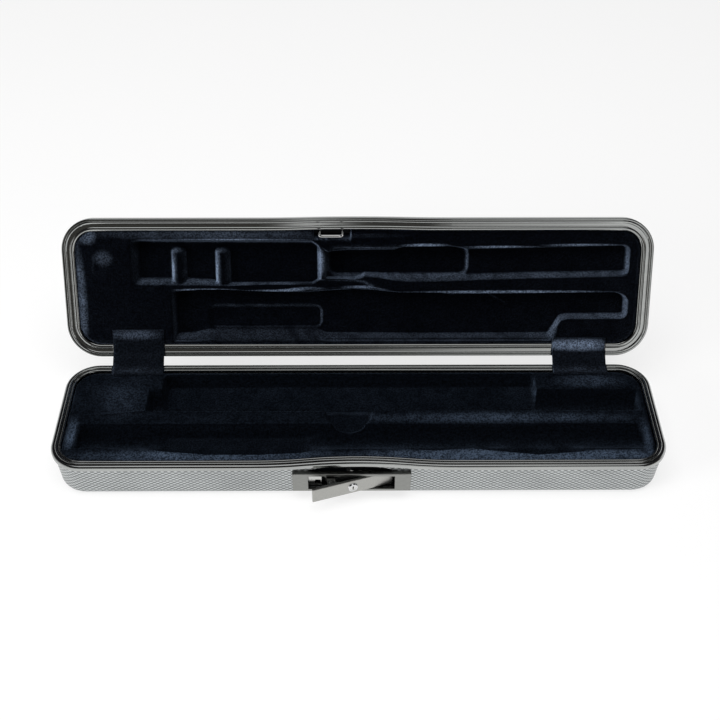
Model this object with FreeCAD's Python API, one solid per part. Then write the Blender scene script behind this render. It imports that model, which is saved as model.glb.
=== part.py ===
import FreeCAD, Part
import math
import os
from FreeCAD import Vector

# Slim moulded case with a hinged lid and a lever latch, standing open.
# Millimetres. X runs left to right, Y from front to back, Z up.
# The origin is the centre of the underside, on the surface that the case stands on.
# The lid and the latch lever are drawn shut and then turned to where they stand open.

# Case
CASE_LENGTH = 430.0
CASE_DEPTH = 102.0
CORNER_RADIUS = 23.0
SEAM_HEIGHT = 33.5
CLOSED_HEIGHT = 57.5
WALL = 2.4
EDGE_ROUND = 7.5
RIM_PROUD = 1.5
DRAFT = 1.5
LID_DRAFT = 1.2
LID_OVERHANG = 1.3
FLOOR_INSET = 14.0
FRONT = -CASE_DEPTH / 2

# The seam rises over the latch in three tangent arcs
HUMP_X = -2.0
HUMP_HEIGHT = 4.2
HUMP_HALF = 70.0
HUMP_RADIUS = (HUMP_HALF ** 2 + HUMP_HEIGHT ** 2) / (4 * HUMP_HEIGHT)
HUMP_TURN = math.degrees(math.asin(HUMP_HALF / 2 / HUMP_RADIUS))

# Rims, measured inwards from the outer edge of the base rim
SKIRT = 3.8
LID_SKIRT = 4.2
RIM_LEG = 4.8
BASE_RIM_INNER = 6.8
LID_RIM_INNER = 7.8
WEB = 2.0
BASE_BEND = SEAM_HEIGHT - SKIRT - 0.4
LID_BEND = SEAM_HEIGHT + LID_SKIRT + HUMP_HEIGHT + 0.4

# Hinges
LID_ANGLE = 116.0
HINGE_Y = CASE_DEPTH / 2 + 4.1
HINGE_XS = {"left": -164.0, "right": 165.0}
HINGE_WIDTH = 30.0
KNUCKLE_RADIUS = 2.3
KNUCKLE_LENGTH = 14.0
KNUCKLE_GAP = 0.2
PIN_RADIUS = 1.1
LEAF = 1.2
RUNNING_FIT = 0.05
RIVET_RADIUS = 1.5
RIVET_SPREAD = 9.0

# Lining
PLATEAU = 1.5
PLUSH = 0.9
CORE_CLEAR = 0.75
TRAY = 4.8
BED_BACK_Y = 14.3
BED_FRONT_Y = -19.3
BED_RADIUS = 10.6
FRONT_JOIN = -34.0
NOTCH_BACK = -38.8
SPLIT_BASE, SPLIT_LID = -40.0, -38.0
STRAP_WIDTHS = {"left": 38.0, "right": 40.0}
STRAP = 1.2
STRAP_RELIEF = 1.3

# Latch
PLATE_LEFT, PLATE_RIGHT = -46.2, 35.8
PLATE_LOW, PLATE_HIGH = 10.1, 27.7
PLATE_FACE = -52.7
PLATE_SHEET = 1.2
WINDOW_LEFT, WINDOW_RIGHT = -35.4, 24.7
WINDOW_LOW, WINDOW_HIGH = 12.2, 25.5
RECESS_LEFT, RECESS_RIGHT = -41.0, 30.4
RECESS_LOW, RECESS_HIGH = 11.1, 26.7
RECESS_BACK = -45.9
RECESS_WALL = 1.5
NUTS_CLEAR_Y = -44.1
SCOOP_CHORD = (-37.0, 27.0)
SCOOP_RISE = 5.7
LEVER_LEFT, LEVER_RIGHT = -34.7, 23.3
LEVER_LOW, LEVER_HIGH = 12.7, 25.0
LEVER_SHEET = 1.8
PIVOT = Vector(7.4, -49.7, 0)
LEVER_ANGLE = 17.3
LEVER_PIN_RADIUS = 1.2
LOCK_X, LOCK_Z = -5.9, 18.8
LOOP_LEFT, LOOP_RIGHT = -28.0, -11.5
LOOP_Y = -41.8
LOOP_WIRE = 1.1
LOOP_LOW = 20.5
STRIKER_LEVEL = 45.0
STRIKER_SCREWS = (-33.4, -6.1)
STUD_RADIUS = 1.2
NUT_RADIUS = 1.7
NUT = 0.9
BASE_RIVET_Z = 20.5
LID_RIVET_Z = 46.0

nodes = {}


# Drawing aids: a section is a start point and steps, each step a point or (middle, end) of an arc

def face(place, start, *steps):
    edges = []
    here = place(*start)
    for step in steps + (start,):
        middle, end = step if isinstance(step[0], tuple) else (None, step)
        there = place(*end)
        if (there - here).Length < 1e-7:
            continue
        if middle:
            edges.append(Part.Arc(here, place(*middle), there).toShape())
        else:
            edges.append(Part.LineSegment(here, there).toShape())
        here = there
    return Part.Face(Part.Wire(edges))


def on_circle(centre, radius, degrees):
    turn = math.radians(degrees)
    return (centre[0] + radius * math.cos(turn), centre[1] + radius * math.sin(turn))


def fused(shapes):
    return shapes[0].multiFuse(shapes[1:]).removeSplitter()


def box(x0, x1, y0, y1, z0, z1):
    return Part.makeBox(x1 - x0, y1 - y0, z1 - z0, Vector(x0, y0, z0))


def turned(shape, centre, axis, degrees):
    copy = shape.copy()
    copy.rotate(centre, axis, degrees)
    return copy


def flipped(shape):
    return shape.mirror(Vector(0, 0, SEAM_HEIGHT), Vector(0, 0, 1))


def rounded_plate(x0, x1, y0, y1, corner, z0, z1):
    far = corner * (1 - math.sqrt(0.5))
    outline = face(lambda x, y: Vector(x, y, z0), (x0 + corner, y0), (x1 - corner, y0),
                   ((x1 - far, y0 + far), (x1, y0 + corner)), (x1, y1 - corner),
                   ((x1 - far, y1 - far), (x1 - corner, y1)), (x0 + corner, y1),
                   ((x0 + far, y1 - far), (x0, y1 - corner)), (x0, y0 + corner),
                   ((x0 + far, y0 + far), (x0 + corner, y0)))
    return outline.extrude(Vector(0, 0, z1 - z0))


def inset_plate(inset, z0, z1):
    half_x = CASE_LENGTH / 2 - inset
    half_y = CASE_DEPTH / 2 - inset
    return rounded_plate(-half_x, half_x, -half_y, half_y, CORNER_RADIUS - inset, z0, z1)


# A section (distance inwards from the base rim's edge, height) carried round the case

def hump_run(section, x_from, x_to):
    x_left = HUMP_X - HUMP_HALF
    x_right = HUMP_X + HUMP_HALF
    above_left = Vector(x_left, 0, SEAM_HEIGHT + HUMP_RADIUS)
    below = Vector(HUMP_X, 0, SEAM_HEIGHT + HUMP_HEIGHT - HUMP_RADIUS)
    above_right = Vector(x_right, 0, SEAM_HEIGHT + HUMP_RADIUS)
    front, back = Vector(0, -1, 0), Vector(0, 1, 0)
    start = face(lambda s, z: Vector(x_left, FRONT + s, z), *section)
    first = turned(start, above_left, front, HUMP_TURN)
    second = turned(first, below, back, 2 * HUMP_TURN)
    end = face(lambda s, z: Vector(x_right, FRONT + s, z), *section)
    return [start.extrude(Vector(x_from - x_left, 0, 0)),
            start.revolve(above_left, front, HUMP_TURN),
            first.revolve(below, back, 2 * HUMP_TURN),
            second.revolve(above_right, front, HUMP_TURN),
            end.extrude(Vector(x_to - x_right, 0, 0))]


def ring(section, humped=False):
    half_x = CASE_LENGTH / 2 - CORNER_RADIUS
    half_y = CASE_DEPTH / 2 - CORNER_RADIUS
    centres = [(-half_x, -half_y), (half_x, -half_y), (half_x, half_y), (-half_x, half_y)]
    pieces = []
    for number, (x, y) in enumerate(centres):
        def at(degrees):
            ux, uy = on_circle((0, 0), 1, degrees)
            return lambda s, z: Vector(x + (CORNER_RADIUS - s) * ux, y + (CORNER_RADIUS - s) * uy, z)
        angle = 180 + 90 * number
        pieces.append(face(at(angle), *section).revolve(Vector(x, y, 0), Vector(0, 0, 1), 90))
        next_x, next_y = centres[(number + 1) % 4]
        if humped and number == 0:
            pieces += hump_run(section, x, next_x)
        else:
            pieces.append(face(at(angle + 90), *section).extrude(Vector(next_x - x, next_y - y, 0)))
    return fused(pieces)


def seam_region(offset, y0, y1, above=True):
    """Everything above (or below) the seam line moved by offset, between two Y."""
    left, right = HUMP_X - HUMP_HALF, HUMP_X + HUMP_HALF
    top, bottom = SEAM_HEIGHT + HUMP_RADIUS, SEAM_HEIGHT + HUMP_HEIGHT - HUMP_RADIUS
    small, large = HUMP_RADIUS - offset, HUMP_RADIUS + offset
    level = SEAM_HEIGHT + offset
    far = CASE_LENGTH
    limit = SEAM_HEIGHT + (60 if above else -60)
    turn = HUMP_TURN
    area = face(lambda x, z: Vector(x, y0, z), (-far, level), (left, level),
                (on_circle((left, top), small, -90 + turn / 2),
                 on_circle((left, top), small, -90 + turn)),
                ((HUMP_X, bottom + large), on_circle((HUMP_X, bottom), large, 90 - turn)),
                (on_circle((right, top), small, -90 - turn / 2), (right, level)),
                (far, level), (far, limit), (-far, limit))
    return area.extrude(Vector(0, y1 - y0, 0))


def trimmed(shape, offset, split, above=True):
    """Cut along the seam line: humped in front of split, flat behind it."""
    flat = SEAM_HEIGHT + offset
    low, high = (flat, flat + 60) if above else (flat - 60, flat)
    shape = shape.cut(seam_region(offset, -CASE_DEPTH, split, above))
    return shape.cut(box(-CASE_LENGTH, CASE_LENGTH, split, CASE_DEPTH, low, high))


# Shells

def wall_section(outer, draft, start, straight_end, end):
    """Moulded wall with its rounded edge. start is open, end is the flat floor or top."""
    way = 1 if end > start else -1
    bend = end - way * EDGE_ROUND
    out = outer + draft
    inner = EDGE_ROUND - WALL
    side = 180 + way * -45
    return ((outer, start), (outer, straight_end), (out, bend),
            (on_circle((out + EDGE_ROUND, bend), EDGE_ROUND, side), (out + EDGE_ROUND, end)),
            (FLOOR_INSET, end), (FLOOR_INSET, end - way * WALL), (out + EDGE_ROUND, end - way * WALL),
            (on_circle((out + EDGE_ROUND, bend), inner, side), (out + WALL, bend)),
            (outer + WALL, straight_end), (outer + WALL, start))


def scoop(grow):
    left, right = SCOOP_CHORD
    middle = (left + right) / 2
    return face(lambda x, z: Vector(x, PLATE_FACE, z), (left - grow, RECESS_LOW - grow),
                (right + grow, RECESS_LOW - grow), (right + grow, PLATE_HIGH),
                ((middle, PLATE_HIGH + SCOOP_RISE + grow), (left - grow, PLATE_HIGH)))


def latch_space(grow):
    """Hollow behind the latch plate, with the arched scoop above the plate."""
    back = RECESS_BACK + grow
    well = box(RECESS_LEFT - grow, RECESS_RIGHT + grow, PLATE_FACE, back,
               RECESS_LOW - grow, RECESS_HIGH + grow)
    return well.fuse(scoop(grow).extrude(Vector(0, back - PLATE_FACE, 0)))


def stud_places():
    return [(x, z) for x in (PLATE_LEFT + 1.9, PLATE_RIGHT - 1.9) for z in (15.0, 23.0)]


def nut_seat(z):
    """Where the front wall's leaning inner face lets a nut seat square."""
    return WALL - base_wall_y(z - NUT_RADIUS) + 0.03


def hinge_rivet_places():
    return [x + side * RIVET_SPREAD for x in HINGE_XS.values() for side in (-1, 1)]


def make_base_shell():
    wall = wall_section(RIM_PROUD, DRAFT, SEAM_HEIGHT + HUMP_HEIGHT, BASE_BEND, 0.0)
    shell = fused([trimmed(ring(wall), -WEB, 0), inset_plate(FLOOR_INSET - 0.01, 0, WALL)])
    seat = box(PLATE_LEFT, PLATE_RIGHT, FRONT + RIM_PROUD, FRONT + 4, PLATE_LOW, PLATE_HIGH)
    walls = latch_space(RECESS_WALL).common(box(-60, 60, FRONT + 3.5, 0, 0, 60))
    walls = walls.cut(seam_region(-SKIRT - 0.3, FRONT, FRONT + RIM_LEG + 0.05))
    shell = fused([shell, seat, walls]).cut(latch_space(0))
    slot = box(-31.0, -8.5, RECESS_BACK - 1, RECESS_BACK + 3, 17.5, 26.7)
    shell = shell.cut(slot)
    for x, z in stud_places():
        hole = Part.makeCylinder(STUD_RADIUS + 0.02, 12, Vector(x, PLATE_FACE, z), Vector(0, 1, 0))
        shell = shell.cut(hole)
    for x in hinge_rivet_places():
        shell = shell.cut(rivet_shank(x, BASE_RIVET_Z))
    nodes["base_shell"] = shell


def make_lid_shell():
    outer = RIM_PROUD - LID_OVERHANG
    wall = wall_section(outer, LID_DRAFT, SEAM_HEIGHT, LID_BEND, CLOSED_HEIGHT)
    shell = trimmed(ring(wall), WEB + 0.2, 0, above=False)
    top = inset_plate(FLOOR_INSET - 0.01, CLOSED_HEIGHT - WALL, CLOSED_HEIGHT)
    boss = box(-36.0, -3.5, FRONT + outer + WALL - 0.5, LOOP_Y + 2.5, STRIKER_LEVEL, STRIKER_LEVEL + 7)
    shell = fused([shell, top, boss])
    for x in STRIKER_SCREWS:
        shell = shell.cut(Part.makeCylinder(0.8, 5, Vector(x, LOOP_Y - 1.0, STRIKER_LEVEL)))
    for x in hinge_rivet_places():
        shell = shell.cut(rivet_shank(x, LID_RIVET_Z))
    nodes["lid_shell"] = opened(shell)


# Rims: clamped over the shell edges; the base rim's tongue nests in the lid rim's groove

def base_rim_section():
    """Skirt with a round shoulder, tongue and a low inner bead, with a leg behind the wall."""
    z = SEAM_HEIGHT
    leg_low = z - SKIRT - 0.2
    inner = RIM_PROUD + WALL
    shoulder, tongue, bead = (2.0, z - 2.0), (3.65, z - 0.35), (6.0, z - 0.9)
    return ((0, z - SKIRT), (0, z - 2.0), (on_circle(shoulder, 2.0, 135), (2.0, z)),
            (2.0, z - 0.8), (2.8, z - 0.8), (2.8, z - 0.35),
            (on_circle(tongue, 0.85, 90), (4.5, z - 0.35)), (4.5, z - 1.0), (5.2, z - 1.0), (5.2, z - 0.9),
            (on_circle(bead, 0.8, 90), (BASE_RIM_INNER, z - 0.9)), (BASE_RIM_INNER, z - WEB - 0.2),
            (RIM_LEG, z - WEB - 0.2), (RIM_LEG, leg_low),
            (inner, leg_low), (inner, z - WEB), (RIM_PROUD, z - WEB), (RIM_PROUD, z - SKIRT))


def lid_rim_section():
    """Lip, shallow arch, the tongue's groove with a slot beside it, and a broad inner arch."""
    z = SEAM_HEIGHT
    out = -LID_OVERHANG
    wall_out = RIM_PROUD - LID_OVERHANG
    wall_in = wall_out + WALL
    web = z + WEB + 0.2
    return ((out, z + LID_SKIRT), (out, z + 1.1),
            (on_circle((out + 1.0, z + 1.1), 1.0, 225), (out + 1.0, z + 0.1)), (0.1, z + 0.1),
            (0.3, z + 0.6), ((1.45, z + 0.12), (2.6, z + 0.6)), (2.6, z + 0.8), (4.5, z + 0.8),
            (4.5, z + 1.9), (5.1, z + 1.9), (5.1, z + 0.6), ((6.45, z + 0.05), (LID_RIM_INNER, z + 0.6)),
            (LID_RIM_INNER, z + 3.6), (6.6, z + 3.6), (6.6, z + 2.6), (3.6, z + 2.6), (3.6, z + 4.4),
            (wall_in + 0.05, z + 4.4),
            (wall_in + 0.05, web), (wall_out, web), (wall_out, z + LID_SKIRT))


def strap_reliefs(low, high):
    reliefs = []
    for side, x in HINGE_XS.items():
        half = STRAP_WIDTHS[side] / 2 + 0.6
        reliefs.append(box(x - half, x + half, CASE_DEPTH / 2 - 9, CASE_DEPTH / 2 + 3,
                           SEAM_HEIGHT + low, SEAM_HEIGHT + high))
    return reliefs


def make_rims():
    base = ring(base_rim_section(), humped=True)
    for relief in strap_reliefs(-STRAP_RELIEF, 3):
        base = base.cut(relief)
    nodes["base_rim"] = base
    lid = ring(lid_rim_section(), humped=True)
    for relief in strap_reliefs(-3, STRAP_RELIEF):
        lid = lid.cut(relief)
    nodes["lid_rim"] = opened(lid)


# Linings: a foam core with a plush skin over it. Depths are below the seam, for base and lid alike

def well(x0, x1, y0, y1, depth, corner, grow):
    return rounded_plate(x0 - grow, x1 + grow, y0 - grow, y1 + grow, corner + grow,
                         SEAM_HEIGHT - depth - grow, SEAM_HEIGHT + 12)


def channel(x0, x1, y, radius, grow):
    """Half-round bed whose axis lies at the lining's surface."""
    level = SEAM_HEIGHT - PLATEAU
    reach = radius + grow
    bed = Part.makeCylinder(reach, x1 - x0 + 2 * grow, Vector(x0 - grow, y, level), Vector(1, 0, 0))
    return fused([bed, box(x0 - grow, x1 + grow, y - reach, y + reach, level, SEAM_HEIGHT + 12)])


def finger_scoop(grow):
    left, right, mouth, deep = 86.0 - grow, 168.0 + grow, -28.0 - grow, -38.5 - grow
    area = face(lambda x, y: Vector(x, y, SEAM_HEIGHT - 10 - grow), (left, BED_FRONT_Y), (left, mouth),
                (((left + right) / 2, deep), (right, mouth)), (right, BED_FRONT_Y))
    return area.extrude(Vector(0, 0, 24))


def base_pockets(grow):
    scallop = Part.makeCylinder(16.5 + grow, 30, Vector(-8, 3, SEAM_HEIGHT - 9.5 - grow))
    return fused([
        channel(-153.5, 204.5, BED_BACK_Y, BED_RADIUS, grow),
        well(-144.0, 131.0, 12.0, 41.6, 13.0, 5.0, grow),
        channel(-200.0, -31.5, BED_FRONT_Y, BED_RADIUS, grow),
        well(-140.0, -31.5, -37.5, -6.0, 13.0, 6.0, grow),
        channel(FRONT_JOIN, 204.5, BED_FRONT_Y, BED_RADIUS - 0.6, grow),
        well(26.0, 94.0, -33.0, -6.0, 9.0, 8.0, grow),
        finger_scoop(grow),
        scallop,
    ])


def hinge_side_slope(grow):
    """The lid's long pocket: a flat bed with a slope up to the hinge side."""
    left, right = -138.5 - grow, 146.0 + grow
    bed = SEAM_HEIGHT - 13 - grow
    area = face(lambda y, z: Vector(left, y, z), (4.0 - grow, SEAM_HEIGHT + 12), (4.0 - grow, bed),
                (34.0 + grow, bed), (42.0 + grow, SEAM_HEIGHT), (42.0 + grow, SEAM_HEIGHT + 12))
    return area.extrude(Vector(right - left, 0, 0))


def lid_pockets(grow):
    """Drawn as if the lid were a base, then flipped over."""
    front_left = well(-167.0, -30.0, -36.3, -1.7, 12.0, 5.0, grow)
    for x in (-132.4, -100.0):
        half = max(5.9 - grow, 0.3)
        rib_top = SEAM_HEIGHT - 9
        post = box(x - half, x + half, -40, 2, SEAM_HEIGHT - 20, rib_top)
        crown = Part.makeCylinder(half, 42, Vector(x, -40, rib_top), Vector(0, 1, 0))
        front_left = front_left.cut(fused([post, crown]))
    right = fused([
        well(-24.5, 199.0, -30.5, -6.5, 10.5, 5.0, grow),
        well(-24.5, 83.0, -30.0, -6.5, 15.0, 8.0, grow),
        hinge_side_slope(grow),
        well(140.0, 200.0, 4.0, 24.3, 12.0, 5.0, grow),
        well(-112.0, -26.5, 15.0, 33.6, 16.5, 6.0, grow),
    ])
    return fused([front_left, right])


def base_notch(grow):
    return box(-33.0 - grow, -7.5 + grow, NUTS_CLEAR_Y, NOTCH_BACK + grow, 16.5 - grow, 60)


def make_base_lining():
    top = SEAM_HEIGHT + 8
    edge = RIM_LEG + CORE_CLEAR
    clear = latch_space(RECESS_WALL + 0.3)
    nuts = box(PLATE_LEFT - 1, PLATE_RIGHT + 1, FRONT, NUTS_CLEAR_Y, RECESS_LOW - 2, RECESS_HIGH)
    skin = fused([inset_plate(BASE_RIM_INNER, SEAM_HEIGHT - 9, top), inset_plate(edge + 2, 9, 26)])
    skin = trimmed(skin, -PLATEAU, SPLIT_BASE).cut(base_pockets(0)).cut(base_notch(0))
    skin = skin.cut(clear).cut(nuts)
    foot = EDGE_ROUND + DRAFT + RIM_PROUD + 1
    core = fused([inset_plate(edge, 9, top), inset_plate(foot, WALL + 0.1, 10)])
    core = trimmed(core, -PLATEAU - PLUSH, SPLIT_BASE)
    core = core.cut(base_pockets(PLUSH)).cut(base_notch(PLUSH))
    core = core.cut(clear).cut(nuts)
    nodes["base_core"] = core
    nodes["base_plush"] = largest(skin.cut(core))


def largest(shape):
    return max(shape.Solids, key=lambda solid: solid.Volume)


def lid_notch(grow):
    return box(-33.0 - grow, -5.0 + grow, FRONT, -36.5 + grow, 0, 60)


def make_lid_lining():
    """The lid's core is a formed tray, hollow towards the lid's top."""
    top = CLOSED_HEIGHT - WALL - 0.1
    edge = LID_RIM_INNER + CORE_CLEAR
    plate_space = box(-38.5, -1.0, FRONT, LOOP_Y + 4, SEAM_HEIGHT, STRIKER_LEVEL + 8)
    skin = fused([inset_plate(LID_RIM_INNER, SEAM_HEIGHT, SEAM_HEIGHT + 9),
                  inset_plate(edge + 2, SEAM_HEIGHT + 8, top - 1)])
    pockets = flipped(lid_pockets(0))
    skin = trimmed(skin, PLATEAU, SPLIT_LID, above=False).cut(pockets).cut(lid_notch(0))
    core = fused([inset_plate(edge, SEAM_HEIGHT, SEAM_HEIGHT + 15),
                  inset_plate(10.5, SEAM_HEIGHT + 14, top)])
    core = trimmed(core, PLATEAU + PLUSH, SPLIT_LID, above=False).cut(flipped(lid_pockets(PLUSH)))
    core = core.cut(lid_notch(PLUSH)).cut(plate_space)
    nodes["lid_plush"] = opened(largest(skin.cut(core).cut(plate_space)))
    hollow = inset_plate(LID_RIM_INNER + 12, SEAM_HEIGHT + PLATEAU + TRAY, top + 5)
    hollow = hollow.cut(flipped(lid_pockets(TRAY)))
    nodes["lid_core"] = opened(largest(core.cut(hollow)))


# Hinges, drawn shut: a base leaf with the middle knuckle, a lid leaf with the outer two

def base_wall_y(z):
    """Outer face of the base's back wall."""
    share = max(0.0, (BASE_BEND - z) / (BASE_BEND - EDGE_ROUND))
    return CASE_DEPTH / 2 - RIM_PROUD - DRAFT * share


def lid_wall_y(z):
    share = max(0.0, (z - LID_BEND) / (CLOSED_HEIGHT - EDGE_ROUND - LID_BEND))
    return CASE_DEPTH / 2 - RIM_PROUD + LID_OVERHANG - LID_DRAFT * share


def across(x):
    return lambda y, z: Vector(x, y, z)


def knuckle(x0, x1):
    return Part.makeCylinder(KNUCKLE_RADIUS, x1 - x0, Vector(x0, HINGE_Y, SEAM_HEIGHT), Vector(1, 0, 0))


def pin_bore(x):
    start = Vector(x - HINGE_WIDTH, HINGE_Y, SEAM_HEIGHT)
    return Part.makeCylinder(PIN_RADIUS + RUNNING_FIT, 2 * HINGE_WIDTH, start, Vector(1, 0, 0))


def wall_lean(z):
    """Degrees that the back wall leans in, down the base and up the lid."""
    if z < SEAM_HEIGHT:
        return -math.degrees(math.atan(DRAFT / (BASE_BEND - EDGE_ROUND)))
    return math.degrees(math.atan(LID_DRAFT / (CLOSED_HEIGHT - EDGE_ROUND - LID_BEND)))


def square_to_wall(shape, x, z):
    wall_y = base_wall_y(z) if z < SEAM_HEIGHT else lid_wall_y(z)
    return turned(shape, Vector(x, wall_y, z), Vector(1, 0, 0), wall_lean(z))


def rivet_shank(x, z):
    shank = Part.makeCylinder(RIVET_RADIUS, 8, Vector(x, CASE_DEPTH / 2 - 6, z), Vector(0, 1, 0))
    return square_to_wall(shank, x, z)


def base_leaf(x):
    wall, low = 27.6, 13.5
    edge = CASE_DEPTH / 2 + 0.06
    z_edge = wall + 1.4
    section = ((base_wall_y(low), low), (base_wall_y(wall), wall), (edge, z_edge), (edge, 31.2),
               (HINGE_Y - 1.6, SEAM_HEIGHT - 0.6), (HINGE_Y - 0.6, SEAM_HEIGHT - 2.0), (edge + LEAF, 29.8),
               (edge + LEAF, z_edge - 0.6), (base_wall_y(wall - 0.6) + LEAF, wall - 0.6),
               (base_wall_y(low) + LEAF, low))
    half = KNUCKLE_LENGTH / 2
    plate = face(across(x - HINGE_WIDTH / 2), *section).extrude(Vector(HINGE_WIDTH, 0, 0))
    sides = [box(x + side * half - (0 if side > 0 else 20), x + side * half + (20 if side > 0 else 0),
                 CASE_DEPTH / 2 - 4, CASE_DEPTH / 2 + 10, 29.6, 40) for side in (-1, 1)]
    leaf = plate.cut(sides[0]).cut(sides[1])
    leaf = fused([leaf, knuckle(x - half, x + half)]).cut(pin_bore(x))
    for side in (-1, 1):
        leaf = leaf.cut(rivet_shank(x + side * RIVET_SPREAD, BASE_RIVET_Z))
    return leaf


def lid_leaf(x):
    wall, high = 39.3, 49.9
    edge = CASE_DEPTH / 2 + LID_OVERHANG + 0.06
    flat = lid_wall_y(wall)
    section = ((lid_wall_y(high), high), (flat, LID_BEND), (flat, wall),
               (edge, wall - 1.4), (edge, 35.9),
               (HINGE_Y - 1.7, SEAM_HEIGHT + 1.0), (HINGE_Y + 0.2, SEAM_HEIGHT + 2.0), (edge + LEAF, 36.6),
               (edge + LEAF, wall - 0.8), (flat + LEAF, wall + 0.6), (flat + LEAF, LID_BEND),
               (lid_wall_y(high) + LEAF, high))
    half = KNUCKLE_LENGTH / 2 + KNUCKLE_GAP
    end = HINGE_WIDTH / 2
    plate = face(across(x - end), *section).extrude(Vector(HINGE_WIDTH, 0, 0))
    leaf = plate.cut(box(x - half, x + half, CASE_DEPTH / 2, CASE_DEPTH / 2 + 10, 30, 36.4))
    leaf = fused([leaf, knuckle(x - end, x - half), knuckle(x + half, x + end)]).cut(pin_bore(x))
    for side in (-1, 1):
        leaf = leaf.cut(rivet_shank(x + side * RIVET_SPREAD, LID_RIVET_Z))
    return leaf


def rivet(x, z):
    """Domed head outside, shank through leaf and wall, flat upset head inside."""
    wall_y = base_wall_y(z) if z < SEAM_HEIGHT else lid_wall_y(z)
    head_y = wall_y + LEAF
    inside_y = wall_y - WALL
    shank = Part.makeCylinder(RIVET_RADIUS, head_y - inside_y, Vector(x, inside_y, z), Vector(0, 1, 0))
    dome = Part.makeSphere(4.0, Vector(x, head_y - 3.0, z))
    dome = dome.common(box(x - 5, x + 5, head_y, head_y + 5, z - 5, z + 5))
    upset = Part.makeCylinder(2.4, 0.5, Vector(x, inside_y - 0.5, z), Vector(0, 1, 0))
    return square_to_wall(fused([shank, dome, upset]), x, z)


def make_hinges():
    for side, x in HINGE_XS.items():
        nodes["hinge_base_leaf_" + side] = base_leaf(x)
        nodes["hinge_lid_leaf_" + side] = opened(lid_leaf(x))
        length = HINGE_WIDTH - 0.4
        start = Vector(x - length / 2, HINGE_Y, SEAM_HEIGHT)
        nodes["hinge_pin_" + side] = Part.makeCylinder(PIN_RADIUS, length, start, Vector(1, 0, 0))
    places = hinge_rivet_places()
    nodes["hinge_base_rivets"] = Part.makeCompound([rivet(x, BASE_RIVET_Z) for x in places])
    nodes["hinge_lid_rivets"] = opened(Part.makeCompound([rivet(x, LID_RIVET_Z) for x in places]))


# Straps: plush-covered strips that cross the gap in front of each hinge

def strap(x, width):
    base_points = [(40.2, -0.6), (43.0, -0.4), (46.0, -0.2), (48.8, 0.8), (52.8, 3.7)]
    lid_points = [(48.8, -0.8), (46.0, 0.2), (42.0, 0.5), (38.0, 0.6), (31.5, 0.6)]
    line = [Vector(x - width / 2, y, SEAM_HEIGHT + rise) for y, rise in base_points]
    for y, rise in lid_points:
        point = Part.Vertex(x - width / 2, y, SEAM_HEIGHT + rise)
        line.append(opened(point).Point)
    curve = Part.BSplineCurve()
    curve.interpolate(line)
    count = 24
    sides = [[], []]
    for number in range(count + 1):
        at = curve.FirstParameter + (curve.LastParameter - curve.FirstParameter) * number / count
        point, ahead = curve.value(at), curve.tangent(at)[0]
        across_strip = Vector(0, -ahead.z, ahead.y).normalize() * (STRAP / 2)
        sides[0].append(point + across_strip)
        sides[1].append(point - across_strip)
    edges = []
    for points in sides:
        side = Part.BSplineCurve()
        side.interpolate(points)
        edges.append(side.toShape())
    edges.append(Part.LineSegment(sides[0][0], sides[1][0]).toShape())
    edges.append(Part.LineSegment(sides[0][-1], sides[1][-1]).toShape())
    area = Part.Face(Part.Wire(Part.__sortEdges__(edges)))
    return area.extrude(Vector(width, 0, 0))


def make_straps():
    for side, x in HINGE_XS.items():
        nodes["strap_" + side] = strap(x, STRAP_WIDTHS[side])


# Latch, fixed parts

def make_latch_plate():
    depth_back = FRONT + RIM_PROUD
    pan = box(PLATE_LEFT, PLATE_RIGHT, PLATE_FACE, depth_back, PLATE_LOW, PLATE_HIGH)
    rims = [edge for edge in pan.Edges if all(abs(v.Y - PLATE_FACE) < 1e-6 for v in edge.Vertexes)]
    pan = pan.makeFillet(0.4, rims)
    pan = pan.cut(box(PLATE_LEFT + 1, PLATE_RIGHT - 1, PLATE_FACE + PLATE_SHEET, 0,
                      PLATE_LOW + 1, PLATE_HIGH - 1))
    pan = pan.cut(box(WINDOW_LEFT, WINDOW_RIGHT, PLATE_FACE - 1, 0, WINDOW_LOW, WINDOW_HIGH))
    pieces = [pan]
    start = PLATE_FACE + 0.6
    for low in (RECESS_LOW, RECESS_HIGH - 1.0):
        pieces.append(box(PIVOT.x - 3, PIVOT.x + 3, start, PIVOT.y + 1.9, low, low + 1.0))
    for x, z in stud_places():
        length = nut_seat(z) + NUT + 0.4 - start
        pieces.append(Part.makeCylinder(STUD_RADIUS, length, Vector(x, start, z), Vector(0, 1, 0)))
    plate = fused(pieces)
    plate = plate.cut(Part.makeCylinder(LEVER_PIN_RADIUS, 40, Vector(PIVOT.x, PIVOT.y, 0)))
    nodes["latch_plate"] = plate


def make_latch_fixings():
    nuts = []
    for x, z in stud_places():
        inner = nut_seat(z)
        disc = Part.makeCylinder(NUT_RADIUS, NUT, Vector(x, inner, z), Vector(0, 1, 0))
        hole = Part.makeCylinder(STUD_RADIUS, 3, Vector(x, inner - 1, z), Vector(0, 1, 0))
        nuts.append(disc.cut(hole))
    nodes["latch_nuts"] = Part.makeCompound(nuts)
    foot = Vector(PIVOT.x, PIVOT.y, RECESS_LOW)
    nodes["lever_pin"] = Part.makeCylinder(LEVER_PIN_RADIUS, RECESS_HIGH - RECESS_LOW, foot)


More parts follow.
